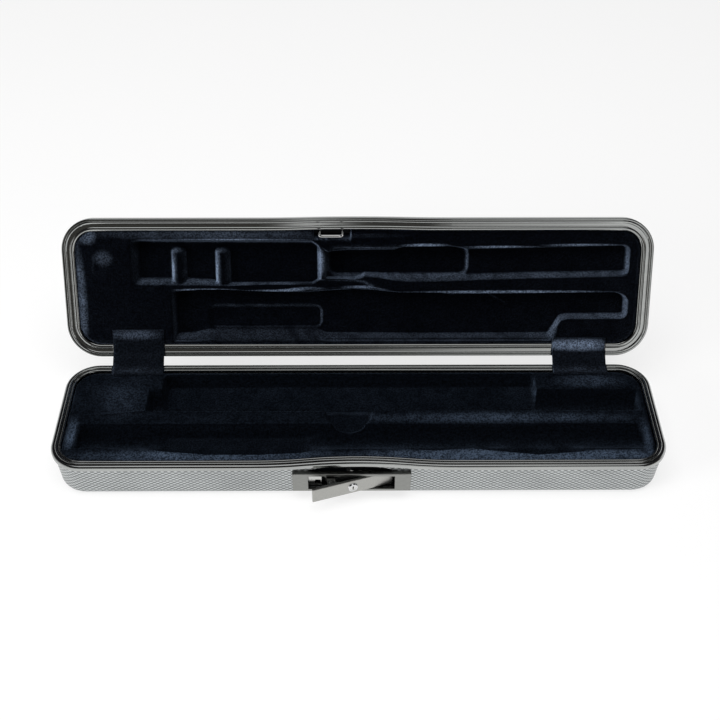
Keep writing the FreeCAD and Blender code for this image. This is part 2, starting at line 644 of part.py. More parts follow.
def make_catch():
    """Bent keeper with a square hole for the lever's snap tooth, and the lever's flat spring."""
    keeper = box(-36.0, -26.2, -48.6, -47.8, 11.6, 24.0)
    keeper = keeper.cut(box(-30.7, -26.9, -49, -47, 13.6, 17.6))
    side = box(-36.0, -35.2, -48.6, RECESS_BACK, 11.6, 24.0)
    foot = box(-40.4, -35.2, RECESS_BACK - 0.8, RECESS_BACK, 11.6, 24.0)
    nodes["catch_bracket"] = fused([keeper, side, foot])
    strip = box(-6.0, 20.0, RECESS_BACK - 0.4, RECESS_BACK, 21.8, 24.8)
    bow = face(lambda x, y: Vector(x, y, 21.8), (-6.0, RECESS_BACK - 0.4), ((-3.0, RECESS_BACK - 1.1),
               (0.0, RECESS_BACK - 0.4)))
    nodes["catch_spring"] = fused([strip, bow.extrude(Vector(0, 0, 3.0))])


# Latch, swinging parts

def make_lever():
    sheet = box(LEVER_LEFT, LEVER_RIGHT, PLATE_FACE, PLATE_FACE + LEVER_SHEET, LEVER_LOW, LEVER_HIGH)
    rims = [edge for edge in sheet.Edges if all(abs(v.Y - PLATE_FACE) < 1e-6 for v in edge.Vertexes)]
    sheet = sheet.makeFillet(0.35, rims)
    foot = Vector(PIVOT.x, PIVOT.y, LEVER_LOW + 0.2)
    barrel = Part.makeCylinder(2.3, LEVER_HIGH - LEVER_LOW - 0.4, foot)
    lever = fused([sheet, barrel])
    bore = Part.makeCylinder(LEVER_PIN_RADIUS + RUNNING_FIT, 40, Vector(PIVOT.x, PIVOT.y, 0))
    seat = Part.makeCylinder(3.0, 8, Vector(LOCK_X, PLATE_FACE - 2, LOCK_Z), Vector(0, 1, 0))
    nodes["latch_lever"] = swung(lever.cut(bore).cut(seat))
    back = PLATE_FACE + LEVER_SHEET
    plate = box(-31.0, -14.5, back, back + 0.9, 13.4, 24.6)
    finger = box(-22.6, -17.0, back, LOOP_Y + 2.2, LOOP_LOW + LOOP_WIRE + 0.4, 24.6)
    tooth = box(-30.0, -27.6, back, -47.4, 14.6, 16.6)
    nodes["lever_claw"] = swung(fused([plate, finger, tooth]))


def make_lock():
    front = PLATE_FACE - 1.0
    barrel = Part.makeCylinder(3.0, 2.95, Vector(LOCK_X, front, LOCK_Z), Vector(0, 1, 0))
    head = Part.makeCone(3.2, 3.7, 0.95, Vector(LOCK_X, front, LOCK_Z), Vector(0, 1, 0))
    bore = Part.makeCylinder(2.2 + RUNNING_FIT, 8, Vector(LOCK_X, front - 1, LOCK_Z), Vector(0, 1, 0))
    nodes["lock_barrel"] = swung(fused([barrel, head]).cut(bore))
    plug = Part.makeCylinder(2.2, 3.85, Vector(LOCK_X, front + 0.1, LOCK_Z), Vector(0, 1, 0))
    slot = box(LOCK_X - 0.45, LOCK_X + 0.45, front - 1, front + 2.2, LOCK_Z - 1.6, LOCK_Z + 1.6)
    nodes["key_plug"] = swung(plug.cut(slot))
    cam_back = front + 3.95
    cam = box(LOCK_X - 7.0, LOCK_X, cam_back - 0.7, cam_back, LOCK_Z - 1.3, LOCK_Z + 1.3)
    cam = cam.fuse(Part.makeCylinder(2.9, 0.7, Vector(LOCK_X, cam_back - 0.7, LOCK_Z), Vector(0, 1, 0)))
    cam = cam.cut(Part.makeCylinder(2.2, 3, Vector(LOCK_X, front + 2, LOCK_Z), Vector(0, 1, 0)))
    nodes["lock_cam"] = swung(cam.removeSplitter())


# Striker: a wire loop on the lid that the lever's claw reaches through

def make_striker():
    top = STRIKER_LEVEL
    bend = 2.2
    y = LOOP_Y
    low = LOOP_LOW
    mid = bend * (1 - math.sqrt(0.5))
    points = [Part.LineSegment(Vector(LOOP_LEFT, y, top), Vector(LOOP_LEFT, y, low + bend)),
              Part.Arc(Vector(LOOP_LEFT, y, low + bend), Vector(LOOP_LEFT + mid, y, low + mid),
                       Vector(LOOP_LEFT + bend, y, low)),
              Part.LineSegment(Vector(LOOP_LEFT + bend, y, low), Vector(LOOP_RIGHT - bend, y, low)),
              Part.Arc(Vector(LOOP_RIGHT - bend, y, low), Vector(LOOP_RIGHT - mid, y, low + mid),
                       Vector(LOOP_RIGHT, y, low + bend)),
              Part.LineSegment(Vector(LOOP_RIGHT, y, low + bend), Vector(LOOP_RIGHT, y, top))]
    path = Part.Wire([piece.toShape() for piece in points])
    circle = Part.Wire(Part.Circle(Vector(LOOP_LEFT, y, top), Vector(0, 0, 1), LOOP_WIRE).toShape())
    loop = path.makePipeShell([circle], True, False)
    nodes["striker_loop"] = opened(loop)
    plate = box(-37.0, -2.5, y - 4.2, y + 2.4, top - 1.2, top)
    for x in (LOOP_LEFT, LOOP_RIGHT):
        plate = plate.cut(Part.makeCylinder(LOOP_WIRE, 4, Vector(x, y, top - 2)))
    screws = []
    for x in STRIKER_SCREWS:
        plate = plate.cut(Part.makeCylinder(0.8, 4, Vector(x, y - 1.0, top - 2)))
        head = Part.makeCylinder(1.5, 0.8, Vector(x, y - 1.0, top - 2.0))
        shank = Part.makeCylinder(0.8, 5.2, Vector(x, y - 1.0, top - 1.2))
        screws.append(fused([head, shank]))
    nodes["striker_plate"] = opened(plate)
    nodes["striker_screws"] = opened(Part.makeCompound(screws))


def opened(shape):
    """Turn a piece of the lid from shut to where the lid stands open."""
    return turned(shape, Vector(0, HINGE_Y, SEAM_HEIGHT), Vector(1, 0, 0), -LID_ANGLE)


def swung(shape):
    """Turn a piece of the lever from shut to where the lever stands open."""
    return turned(shape, PIVOT, Vector(0, 0, 1), LEVER_ANGLE)


make_base_shell()
make_lid_shell()
make_rims()
make_base_lining()
make_lid_lining()
make_hinges()
make_straps()
make_latch_plate()
make_latch_fixings()
make_catch()
make_lever()
make_lock()
make_striker()

os.makedirs("parts", exist_ok=True)
for name, shape in nodes.items():
    shape.exportStep("parts/" + name + ".step")
    print(name, len(shape.Solids), "valid" if shape.isValid() else "NOT VALID", round(shape.Volume, 1))
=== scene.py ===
import math
import bmesh
import bpy
import numpy as np
from mathutils import Matrix, Vector


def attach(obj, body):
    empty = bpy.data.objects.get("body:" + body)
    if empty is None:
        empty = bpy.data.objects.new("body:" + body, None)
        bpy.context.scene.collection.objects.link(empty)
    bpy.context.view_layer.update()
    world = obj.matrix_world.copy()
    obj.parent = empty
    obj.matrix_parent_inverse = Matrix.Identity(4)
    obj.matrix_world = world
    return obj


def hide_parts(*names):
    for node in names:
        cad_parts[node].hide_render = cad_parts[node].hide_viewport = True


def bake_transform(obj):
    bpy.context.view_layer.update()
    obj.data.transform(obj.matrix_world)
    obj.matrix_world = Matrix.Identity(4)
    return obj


# A slim moulded case, open, with a plush lining and a lever latch. X runs left to right,
# Y from front to back, Z up. Sizes are millimetres, and MM turns them to the scene's metres.
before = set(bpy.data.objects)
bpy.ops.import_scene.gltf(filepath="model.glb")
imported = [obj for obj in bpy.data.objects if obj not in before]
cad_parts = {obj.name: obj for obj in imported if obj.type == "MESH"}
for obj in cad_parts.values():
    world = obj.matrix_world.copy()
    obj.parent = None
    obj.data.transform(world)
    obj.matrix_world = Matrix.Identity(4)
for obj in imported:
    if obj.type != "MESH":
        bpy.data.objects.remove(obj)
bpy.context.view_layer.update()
MM = 0.001

# Shells
# Base and lid are one moulding each of ABS, coloured dark silver in the mass. The tool leaves
# a fine grain of staggered lozenges on the outside and a recess for the latch in the base.


def linear(code):
    """sRGB hex to linear colour."""
    parts = [int(code[at:at + 2], 16) / 255 for at in (0, 2, 4)]
    return (*[p / 12.92 if p <= 0.04045 else ((p + 0.055) / 1.055) ** 2.4 for p in parts], 1.0)


def add(tree, kind, settings=None, links=None):
    """Adds a node. settings are properties or input values, links are sockets for its inputs."""
    node = tree.nodes.new(kind)
    for name, value in (settings or {}).items():
        if isinstance(name, str) and hasattr(node, name):
            setattr(node, name, value)
        else:
            node.inputs[name].default_value = value
    for name, source in (links or {}).items():
        tree.links.new(source, node.inputs[name])
    return node


def new_material(name):
    material = bpy.data.materials.new(name)
    material.use_nodes = True
    material.node_tree.nodes.clear()
    return material, material.node_tree


def dress(name, material):
    """A CAD node keeps its shape and gets this finish."""
    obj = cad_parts[name]
    obj.data.materials.clear()
    obj.data.materials.append(material)


# the grain's pitch along the wall and up it, and where the walls' round corners start
LOZENGE_WIDE, LOZENGE_HIGH = 4.6, 3.0
CORNER_X, CORNER_Y, CORNER_RADIUS = 192.0, 28.0, 23.0
# the hinge axis, the height at which the rims meet, and how far the lid stands open
HINGE_Y, SEAM = 55.1, 33.5
LID_ANGLE = math.radians(116)
# the recess in the front wall behind the latch plate: its middle, half its width, front and back
RECESS_X, RECESS_HALF = -5.0, 37.5
RECESS_FRONT, RECESS_BACK = -49.3, -43.6
# noise cells per millimetre: the tool's own roughness, and the areas that hands have rubbed
TOOL_NOISE, RUBBED_NOISE = 0.9, 0.035


def drawn_shut(tree, on_lid):
    """Where a point of the shell lies, and which way it faces, with the case shut."""
    place = add(tree, "ShaderNodeTexCoord")
    if not on_lid:
        return place.outputs["Object"], place.outputs["Normal"]
    centre = Vector((0, HINGE_Y, SEAM)) * MM
    moved = centre - Matrix.Rotation(LID_ANGLE, 3, "X") @ centre
    where = add(tree, "ShaderNodeMapping", {"Rotation": (LID_ANGLE, 0, 0), "Location": moved},
                {"Vector": place.outputs["Object"]})
    facing = add(tree, "ShaderNodeMapping", {"vector_type": "VECTOR", "Rotation": (LID_ANGLE, 0, 0)},
                 {"Vector": place.outputs["Normal"]})
    return where.outputs[0], facing.outputs[0]


def way_round(tree, mm):
    """Distance along the wall, round the corners, as a socket."""
    reach = add(tree, "ShaderNodeVectorMath", {"operation": "ABSOLUTE"}, {0: mm}).outputs[0]
    corner = (CORNER_X, CORNER_Y, 0)
    straight = add(tree, "ShaderNodeVectorMath", {"operation": "MINIMUM", 1: corner}, {0: reach}).outputs[0]
    past = add(tree, "ShaderNodeVectorMath", {"operation": "SUBTRACT"}, {0: reach, 1: straight}).outputs[0]
    straight = add(tree, "ShaderNodeSeparateXYZ", None, {0: straight}).outputs
    past = add(tree, "ShaderNodeSeparateXYZ", None, {0: past}).outputs
    turn = add(tree, "ShaderNodeMath", {"operation": "ARCTAN2"}, {0: past[1], 1: past[0]})
    bend = add(tree, "ShaderNodeMath",
               {"operation": "MULTIPLY_ADD", 1: -CORNER_RADIUS, 2: math.pi / 2 * CORNER_RADIUS + CORNER_Y},
               {0: turn.outputs[0]})
    level = add(tree, "ShaderNodeMath", {"operation": "SUBTRACT"}, {0: straight[0], 1: straight[1]})
    way = add(tree, "ShaderNodeMath", {"operation": "ADD"}, {0: level.outputs[0], 1: bend.outputs[0]})
    return way.outputs[0]


def lozenges(tree, mm, facing):
    """Height of the grain, 0 to 1. It runs round the walls, and lies straight on top and bottom."""
    at = add(tree, "ShaderNodeSeparateXYZ", None, {0: mm}).outputs
    on_wall = add(tree, "ShaderNodeCombineXYZ", None, {0: way_round(tree, mm), 1: at[2]})
    on_flat = add(tree, "ShaderNodeCombineXYZ", None, {0: at[0], 1: at[1]})
    upright = add(tree, "ShaderNodeSeparateXYZ", None, {0: facing}).outputs[2]
    upright = add(tree, "ShaderNodeMath", {"operation": "ABSOLUTE"}, {0: upright})
    lying = add(tree, "ShaderNodeMath", {"operation": "GREATER_THAN", 1: 0.72}, {0: upright.outputs[0]})
    drawn = add(tree, "ShaderNodeMix", {"data_type": "VECTOR"},
                {0: lying.outputs[0], 4: on_wall.outputs[0], 5: on_flat.outputs[0]}).outputs[1]
    pitch = (2 * math.pi / LOZENGE_WIDE, 2 * math.pi / LOZENGE_HIGH, 0)
    phase = add(tree, "ShaderNodeVectorMath", {"operation": "MULTIPLY", 1: pitch}, {0: drawn})
    wave = add(tree, "ShaderNodeVectorMath", {"operation": "COSINE"}, {0: phase.outputs[0]})
    wave = add(tree, "ShaderNodeSeparateXYZ", None, {0: wave.outputs[0]}).outputs
    cell = add(tree, "ShaderNodeMath", {"operation": "SUBTRACT"}, {0: wave[0], 1: wave[1]})
    cell = add(tree, "ShaderNodeMath", {"operation": "ABSOLUTE"}, {0: cell.outputs[0]})
    cell = add(tree, "ShaderNodeMath", {"operation": "MULTIPLY", 1: 0.5}, {0: cell.outputs[0]})
    return add(tree, "ShaderNodeMath", {"operation": "POWER", 1: 0.7}, {0: cell.outputs[0]}).outputs[0]


def recess_shade(tree, mm, colour):
    """The recess behind the latch plate is narrow and gets hardly any light: nearly black."""
    at = add(tree, "ShaderNodeSeparateXYZ", None, {0: mm}).outputs
    off = add(tree, "ShaderNodeMath", {"operation": "SUBTRACT", 1: RECESS_X}, {0: at[0]})
    off = add(tree, "ShaderNodeMath", {"operation": "ABSOLUTE"}, {0: off.outputs[0]})
    inside = add(tree, "ShaderNodeMath", {"operation": "LESS_THAN", 1: RECESS_HALF}, {0: off.outputs[0]})
    for side, limit in (("GREATER_THAN", RECESS_FRONT), ("LESS_THAN", RECESS_BACK)):
        within = add(tree, "ShaderNodeMath", {"operation": side, 1: limit}, {0: at[1]})
        inside = add(tree, "ShaderNodeMath", {"operation": "MULTIPLY"},
                     {0: inside.outputs[0], 1: within.outputs[0]})
    dark = add(tree, "ShaderNodeVectorMath", {"operation": "SCALE", "Scale": 0.06}, {0: colour})
    return add(tree, "ShaderNodeMix", {"data_type": "RGBA"},
               {0: inside.outputs[0], 6: colour, 7: dark.outputs[0]}).outputs[2]


def shell_material(name, on_lid):
    """Metal-effect ABS with a moulded grain that bumps the surface, a little rubbed, so the wall breaks a
    reflection into small cells. The grain's crowns are painted pale and its grooves grey: painted glints
    and painted shade."""
    material, tree = new_material(name)
    where, facing = drawn_shut(tree, on_lid)
    mm = add(tree, "ShaderNodeVectorMath", {"operation": "SCALE", "Scale": 1 / MM}, {0: where}).outputs[0]
    fine = add(tree, "ShaderNodeTexNoise", {"Scale": TOOL_NOISE, "Detail": 3.0}, {"Vector": mm})
    rubbed = add(tree, "ShaderNodeTexNoise", {"Scale": RUBBED_NOISE, "Detail": 4.0}, {"Vector": mm})
    height = add(tree, "ShaderNodeMath", {"operation": "MULTIPLY_ADD", 1: 0.2},
                 {0: fine.outputs[0], 2: lozenges(tree, mm, facing)}).outputs[0]
    # painted glints on the grain's crowns and painted shade in its grooves
    tone = add(tree, "ShaderNodeValToRGB", None, {0: height})
    groove, crown = tone.color_ramp.elements
    groove.position = 0.15
    groove.color = linear("5C5F61")
    crown.position = 0.85
    crown.color = linear("DADEDE")
    colour = add(tree, "ShaderNodeMix", {"data_type": "RGBA", "blend_type": "MULTIPLY", 0: 0.35},
                 {6: tone.outputs[0], 7: rubbed.outputs[0]}).outputs[2]
    if not on_lid:
        colour = recess_shade(tree, mm, colour)
    bump = add(tree, "ShaderNodeBump", {"Strength": 0.45, "Distance": 0.25 * MM}, {"Height": height})
    skin = add(tree, "ShaderNodeBsdfPrincipled", {"Metallic": 0.85, "Roughness": 0.4},
               {"Base Color": colour, "Normal": bump.outputs[0]})
    add(tree, "ShaderNodeOutputMaterial", None, {"Surface": skin.outputs[0]})
    return material


dress("base_shell", shell_material("abs_lozenge_grain_base", False))
dress("lid_shell", shell_material("abs_lozenge_grain_lid", True))

# Rims
# Extruded profiles of smooth black ABS, clamped over the shell edges. The base's has a round
# shoulder and a bead, the lid's a groove, a narrow slot and a broad arch.

# marks per metre from the extruder's die: 80 mm long and 6 mm apart, wider than real so that they show
DRAG_MARKS = (12.0, 180.0, 180.0)

# Gloss ABS, drawn as a grey mirror: the dim room turns nearly black in it, and with the drag
# marks each step of the profile draws its own thin light.
rim_gloss, tree = new_material("abs_gloss_rim")
place = add(tree, "ShaderNodeTexCoord")
long_run = add(tree, "ShaderNodeMapping", {"Scale": DRAG_MARKS}, {"Vector": place.outputs["Object"]})
drag = add(tree, "ShaderNodeTexNoise", {"Scale": 1.0, "Detail": 4.0}, {"Vector": long_run.outputs[0]})
tone = add(tree, "ShaderNodeValToRGB", None, {0: drag.outputs[0]})
mark, ground = tone.color_ramp.elements
mark.position = 0.3
mark.color = linear("A2A4A3")
ground.position = 0.75
ground.color = linear("B2B4B2")
gloss = add(tree, "ShaderNodeMapRange", {"To Min": 0.1, "To Max": 0.16}, {0: drag.outputs[0]})
skin = add(tree, "ShaderNodeBsdfPrincipled", {"Metallic": 1.0},
           {"Base Color": tone.outputs[0], "Roughness": gloss.outputs[0]})
add(tree, "ShaderNodeOutputMaterial", None, {"Surface": skin.outputs[0]})
dress("base_rim", rim_gloss)
dress("lid_rim", rim_gloss)

# Base lining
# A foam former with black nylon plush drawn over it and glued down. It carries a bed from end
# to end, a shorter one with a flat space behind it, and a finger scallop between the two.

# pile clumps and brushed areas per millimetre; the clumps are coarser than the real tufts, to show
PILE_CLUMPS, BRUSHED_AREAS = 0.9, 0.05


def painted_sheen_share(tree, place, bump, brushed):
    """Share of painted sheen: little where the plush is seen straight on, more where it is seen along
    the surface, and more on sides that face left, as painted light from the left."""
    edge = add(tree, "ShaderNodeLayerWeight", {"Blend": 0.5}, {"Normal": bump.outputs[0]})
    grazing_sheen = add(tree, "ShaderNodeMath", {"operation": "POWER", 1: 1.6}, {0: edge.outputs["Facing"]})
    stroked = add(tree, "ShaderNodeMapRange",
                  {"From Min": 0.3, "From Max": 0.7, "To Min": 0.45, "To Max": 1.5}, {0: brushed.outputs[0]})
    sideways = add(tree, "ShaderNodeSeparateXYZ", None, {0: place.outputs["Normal"]}).outputs[0]
    # painted light from the left: sides that face left lighter, sides that face right darker
    painted_left_light = add(tree, "ShaderNodeMapRange",
              {"From Min": -0.8, "From Max": 0.6, "To Min": 0.85, "To Max": 0.12}, {0: sideways})
    brushed_left_light = add(tree, "ShaderNodeMath", {"operation": "MULTIPLY"}, {0: stroked.outputs[0], 1: painted_left_light.outputs[0]})
    return add(tree, "ShaderNodeMath", {"operation": "MULTIPLY"}, {0: grazing_sheen.outputs[0], 1: brushed_left_light.outputs[0]})


def paint_light_patches(tree, mm, brushed, lit, patches):
    """Adds painted light in patches, painted shade if the strength is negative: centre, half-widths,
    strength.
    """
    for centre, half_widths, strength in patches:
        reach = add(tree, "ShaderNodeMapping",
                    {"vector_type": "TEXTURE", "Location": centre, "Scale": half_widths}, {"Vector": mm})
        far = add(tree, "ShaderNodeVectorMath", {"operation": "LENGTH"}, {0: reach.outputs[0]})
        patch = add(tree, "ShaderNodeMapRange",
                    {"interpolation_type": "SMOOTHSTEP", "From Min": 1.0, "From Max": 0.2,
                     "To Max": strength}, {"Value": far.outputs["Value"]})
        patch = add(tree, "ShaderNodeMath", {"operation": "MULTIPLY"},
                    {0: patch.outputs[0], 1: brushed.outputs[0]})
        lit = add(tree, "ShaderNodeMath", {"operation": "ADD"}, {0: lit.outputs[0], 1: patch.outputs[0]})
    return lit


def velvet(name, root, painted_sheen_colour, tint, sheen, patches):
    """Short dense nylon pile, woven and brushed: the flats show its black roots, and the lips of
    the beds a cold grey painted sheen, mixed into its colour."""
    material, tree = new_material(name)
    place = add(tree, "ShaderNodeTexCoord")
    mm = add(tree, "ShaderNodeVectorMath", {"operation": "SCALE", "Scale": 1 / MM},
             {0: place.outputs["Object"]}).outputs[0]
    pile = add(tree, "ShaderNodeTexNoise", {"Scale": PILE_CLUMPS, "Detail": 1.5, "Roughness": 0.6},
               {"Vector": mm})
    brushed = add(tree, "ShaderNodeTexNoise", {"Scale": BRUSHED_AREAS, "Detail": 5.0, "Distortion": 1.5},
                  {"Vector": mm})
    bump = add(tree, "ShaderNodeBump", {"Strength": 0.6, "Distance": 0.5 * MM}, {"Height": pile.outputs[0]})
    lit = paint_light_patches(tree, mm, brushed, painted_sheen_share(tree, place, bump, brushed), patches)
    # painted sheen: the dark root colour turns to the pale one by the share above
    shade = add(tree, "ShaderNodeMix", {"data_type": "RGBA", 6: linear(root), 7: linear(painted_sheen_colour)},
                {0: lit.outputs[0]})
    speck = add(tree, "ShaderNodeMapRange",
                {"From Min": 0.4, "From Max": 0.6, "To Min": 0.45, "To Max": 1.75}, {0: pile.outputs[0]})
    mottled = add(tree, "ShaderNodeVectorMath", {"operation": "SCALE"},
                  {0: shade.outputs[2], "Scale": speck.outputs[0]})
    skin = add(tree, "ShaderNodeBsdfPrincipled",
               {"Roughness": 0.95, "Specular IOR Level": 0.05, "Sheen Weight": sheen, "Sheen Roughness": 0.25,
                "Sheen Tint": linear(tint)},
               {"Base Color": mottled.outputs[0], "Normal": bump.outputs[0]})
    add(tree, "ShaderNodeOutputMaterial", None, {"Surface": skin.outputs[0]})
    return material


# painted light: the front ledge right and left of the latch, the left end, the flat at the left
# strap, the middle ridge, the right end and the flat at the right strap
BASE_PAINTED_LIGHT = [((110, -39, 32), (150, 9, 9), 2.5), ((-105, -39, 32), (120, 9, 9), 1.5),
                ((-203, -18, 31), (6, 20, 9), 1.6), ((-172, 18, 34), (26, 30, 9), 0.35),
                ((95, -3, 31), (130, 7, 9), 0.8), ((203, -20, 31), (5, 22, 9), 0.8),
                ((170, 34, 34), (34, 9, 9), 0.9)]
# the plush comes in three copies whose painted sheen differs as painted light and shade: here it is darker
# than on the lid
plush = velvet("nylon_plush_base", "04060A", "333D4B", "9FB2D0", 0.03, BASE_PAINTED_LIGHT)

# the seam rises in a long low hump over the latch
HUMP_X, HUMP_HEIGHT, HUMP_HALF = -2.0, 4.2, 70.0
HUMP_RADIUS = (HUMP_HALF ** 2 + HUMP_HEIGHT ** 2) / (4 * HUMP_HEIGHT)
# how far the plush lies below the seam where it is flat
FLAT = 1.5


def hump(x):
    """Rise of the seam over the latch, in three tangent arcs."""
    off = np.abs(x - HUMP_X)
    turn = HUMP_HALF / 2
    crown = HUMP_HEIGHT - (HUMP_RADIUS - np.sqrt(HUMP_RADIUS ** 2 - np.minimum(off, turn) ** 2))
    foot = HUMP_RADIUS - np.sqrt(HUMP_RADIUS ** 2 - np.clip(HUMP_HALF - off, 0, turn) ** 2)
    return np.where(off < turn, crown, foot)


def ease(t):
    """From 0 to 1, level at both ends."""
    t = np.clip(t, 0.0, 1.0)
    return t * t * (3 - 2 * t)


def quarter(t):
    """From 0 to 1, steep at the lip and level at the bottom."""
    t = np.clip(t, 0.0, 1.0)
    return np.sqrt(1 - (1 - t) ** 2)


def deeper(a, b, soft):
    """The deeper of two depths, with the lip between them rounded over this many millimetres."""
    mix = np.clip(0.5 + 0.5 * (a - b) / soft, 0, 1)
    return b + (a - b) * mix + soft * mix * (1 - mix)


def along(x, *points):
    """A line of plush from point to point, given as x and the value there."""
    xs, values = zip(*points)
    return np.interp(x, xs, values)


def cell(x, y, x0, x1, y0, y1, corner):
    """Distance inside a cell with rounded corners, negative outside it."""
    past_x = np.abs(x - (x0 + x1) / 2) - (x1 - x0) / 2 + corner
    past_y = np.abs(y - (y0 + y1) / 2) - (y1 - y0) / 2 + corner
    outside = np.hypot(np.maximum(past_x, 0), np.maximum(past_y, 0))
    return corner - outside - np.minimum(np.maximum(past_x, past_y), 0)


def folds(x, y, wide, *lines):
    """Raised creases in the plush, each from x0, y0 to x1, y1 with its height."""
    total = 0 * x
    for x0, y0, x1, y1, high in lines:
        run_x, run_y = x1 - x0, y1 - y0
        t = np.clip(((x - x0) * run_x + (y - y0) * run_y) / (run_x ** 2 + run_y ** 2), 0, 1)
        total = total + high * np.exp(-(np.hypot(x - x0 - t * run_x, y - y0 - t * run_y) / wide) ** 2)
    return total


# the beds: where each ends, its middle line and its radius, and the round foot of their ends
FRONT_BED_LEFT, BACK_BED_LEFT, BEDS_RIGHT = -200.5, -153.5, 204.5
FRONT_BED_Y, BACK_BED_Y, BACK_BED_RADIUS = -19.3, 14.3, 10.6
BED_FOOT = 2.6
# the ridge between the beds, and the lip behind the flat space, which ends left and right
RIDGE_FRONT, RIDGE_BACK, REAR_LIP = -9.0, 3.7, 41.6
SPACE_LEFT, SPACE_RIGHT, SPACE_DEPTH = -144.0, 131.0, 11.5
SCALLOP_X, SCALLOP_Y, SCALLOP_RADIUS, SCALLOP_DEPTH = -7.0, 3.0, 16.7, 8.0
# the notch in the front ledge behind the latch, where the lid's loop meets the lever's claw
NOTCH_LEFT, NOTCH_RIGHT, NOTCH_BACK, NOTCH_DEPTH = -33.0, -7.5, -38.8, 17.0
# a line well outside the plush, in front of the case
OUT_FRONT = -60.0


def base_rows(x):
    """Lines that the plush follows from end to end: front ledge, the ridge's two sides, rear lip."""
    ledge = along(x, (-204, -31.8), (-196, -31.6), (-183, -30.4), (-170, -32.4), (-151, -32.7),
                  (-132, -35.1), (-106, -37.7), (-71, -38.0), (-41, -36.4), (-30, -34.0), (-8, -32.4),
                  (30, -32.5), (52, -34.5), (79, -32.4), (91, -34.4), (125, -38.5), (155, -35.8),
                  (166, -34), (206, -34))
    rear = along(x, (SPACE_LEFT, 41.0), (-60, 41.8), (60, 41.3), (SPACE_RIGHT, 41.7))
    return [ledge, 0 * x + RIDGE_FRONT, 0 * x + RIDGE_BACK, rear]


def bed_ends(x, left):
    """Upright ends of a bed, with a round foot."""
    return quarter((x - left) / BED_FOOT) * quarter((BEDS_RIGHT - x) / BED_FOOT)


def front_trough(x, y, ledge, ridge_front):
    """One bed from end to end, wider and deeper behind the left ledge. shoulder is the depth at
    the ledge's side and steep the width over which it is reached."""
    shoulder = along(x, (-200, 5.5), (-152, 5.5), (-136, 11.2), (-38, 11.2), (-24, 6.5), (24, 6.0), (32, 7.6),
                     (88, 7.6), (98, 5.5), (106, 8.2), (150, 8.2), (160, 5.5), (206, 5.5))
    steep = along(x, (-200, 7.5), (-152, 7.0), (-136, 4.6), (-38, 4.6), (-24, 6.0), (24, 6.0), (32, 4.2),
                  (88, 4.2), (98, 6.0), (106, 5.0), (150, 5.0), (160, 6.5), (206, 6.5))
    radius = along(x, (-200, 10.6), (-34, 10.6), (-22, 10.0), (206, 10.0))
    ends = bed_ends(x, FRONT_BED_LEFT)
    bed = radius * np.sqrt(np.clip(1 - ((y - FRONT_BED_Y) / radius) ** 2, 0, 1)) * ends
    ledge_side = shoulder * quarter((y - ledge) / steep) * ends * quarter((ridge_front - y) / 4.0)
    return FLAT + deeper(bed, ledge_side, 1.6)


def back_trough(x, y, rear):
    """A half-round bed with a wide flat space behind it."""
    bed = BACK_BED_RADIUS * np.sqrt(np.clip(1 - ((y - BACK_BED_Y) / BACK_BED_RADIUS) ** 2, 0, 1))
    bed = bed * bed_ends(x, BACK_BED_LEFT)
    inside = cell(x, y + REAR_LIP - rear, SPACE_LEFT, SPACE_RIGHT, 6.0, REAR_LIP, 5.0)
    space = SPACE_DEPTH * quarter(inside / 3.2)
    return FLAT + deeper(bed, space * ease((y - 5.0) / 8.0), 1.2)


def base_depth(x, y):
    """Depth of the plush below the seam."""
    level = FLAT - hump(x) * ease((-38.0 - y) / 3.5)
    ledge, ridge_front, _, rear = base_rows(x)
    # finger scallop that crosses the middle ridge
    inside = SCALLOP_RADIUS - np.hypot(x - SCALLOP_X, y - SCALLOP_Y)
    scallop = FLAT + SCALLOP_DEPTH * quarter(inside / 3.4)
    cut = deeper(deeper(front_trough(x, y, ledge, ridge_front), back_trough(x, y, rear), 0.9), scallop, 1.0)
    surface = deeper(level, cut - 0.35, 1.1)
    inside = cell(x, y, NOTCH_LEFT, NOTCH_RIGHT, OUT_FRONT, NOTCH_BACK, 1.5)
    surface = deeper(surface, NOTCH_DEPTH * ease(inside / 2.0 + 0.4), 1.0)
    # wrinkles: along the left end, behind the left strap, beside the notch, in the front right corner
    return surface - folds(x, y, 1.0, (-205.0, -26.0, -204.0, -8.0, 0.8), (-201.5, -21.0, -199.5, -10.0, 0.5),
                           (-154.6, 39.6, -143.5, 31.4, 0.7), (-160.0, 38.0, -150.5, 29.0, 0.5),
                           (-168.0, 35.5, -153.0, 35.0, 0.4), (-3.5, -43.5, -4.5, -36.5, 0.8),
                           (199.0, -35.0, 205.5, -41.5, -1.3), (205.0, -8.0, 206.0, 4.0, 0.6),
                           (-185.0, 0.5, -152.0, 4.5, 0.6))


# the mesh has lines this far off each wall that crosses it, and one row past the outline
WALL_LINES = (-1.1, -0.7, -0.35, 0.0, 0.35, 0.7, 1.1, 1.6, 2.2)
PAST_OUTLINE = 1.5
# lines for each millimetre of half the length, the closest two lines, and the spacing of rows
LINES_PER_HALF, CLOSEST, ROW_STEP = 1.7, 0.2, 0.75


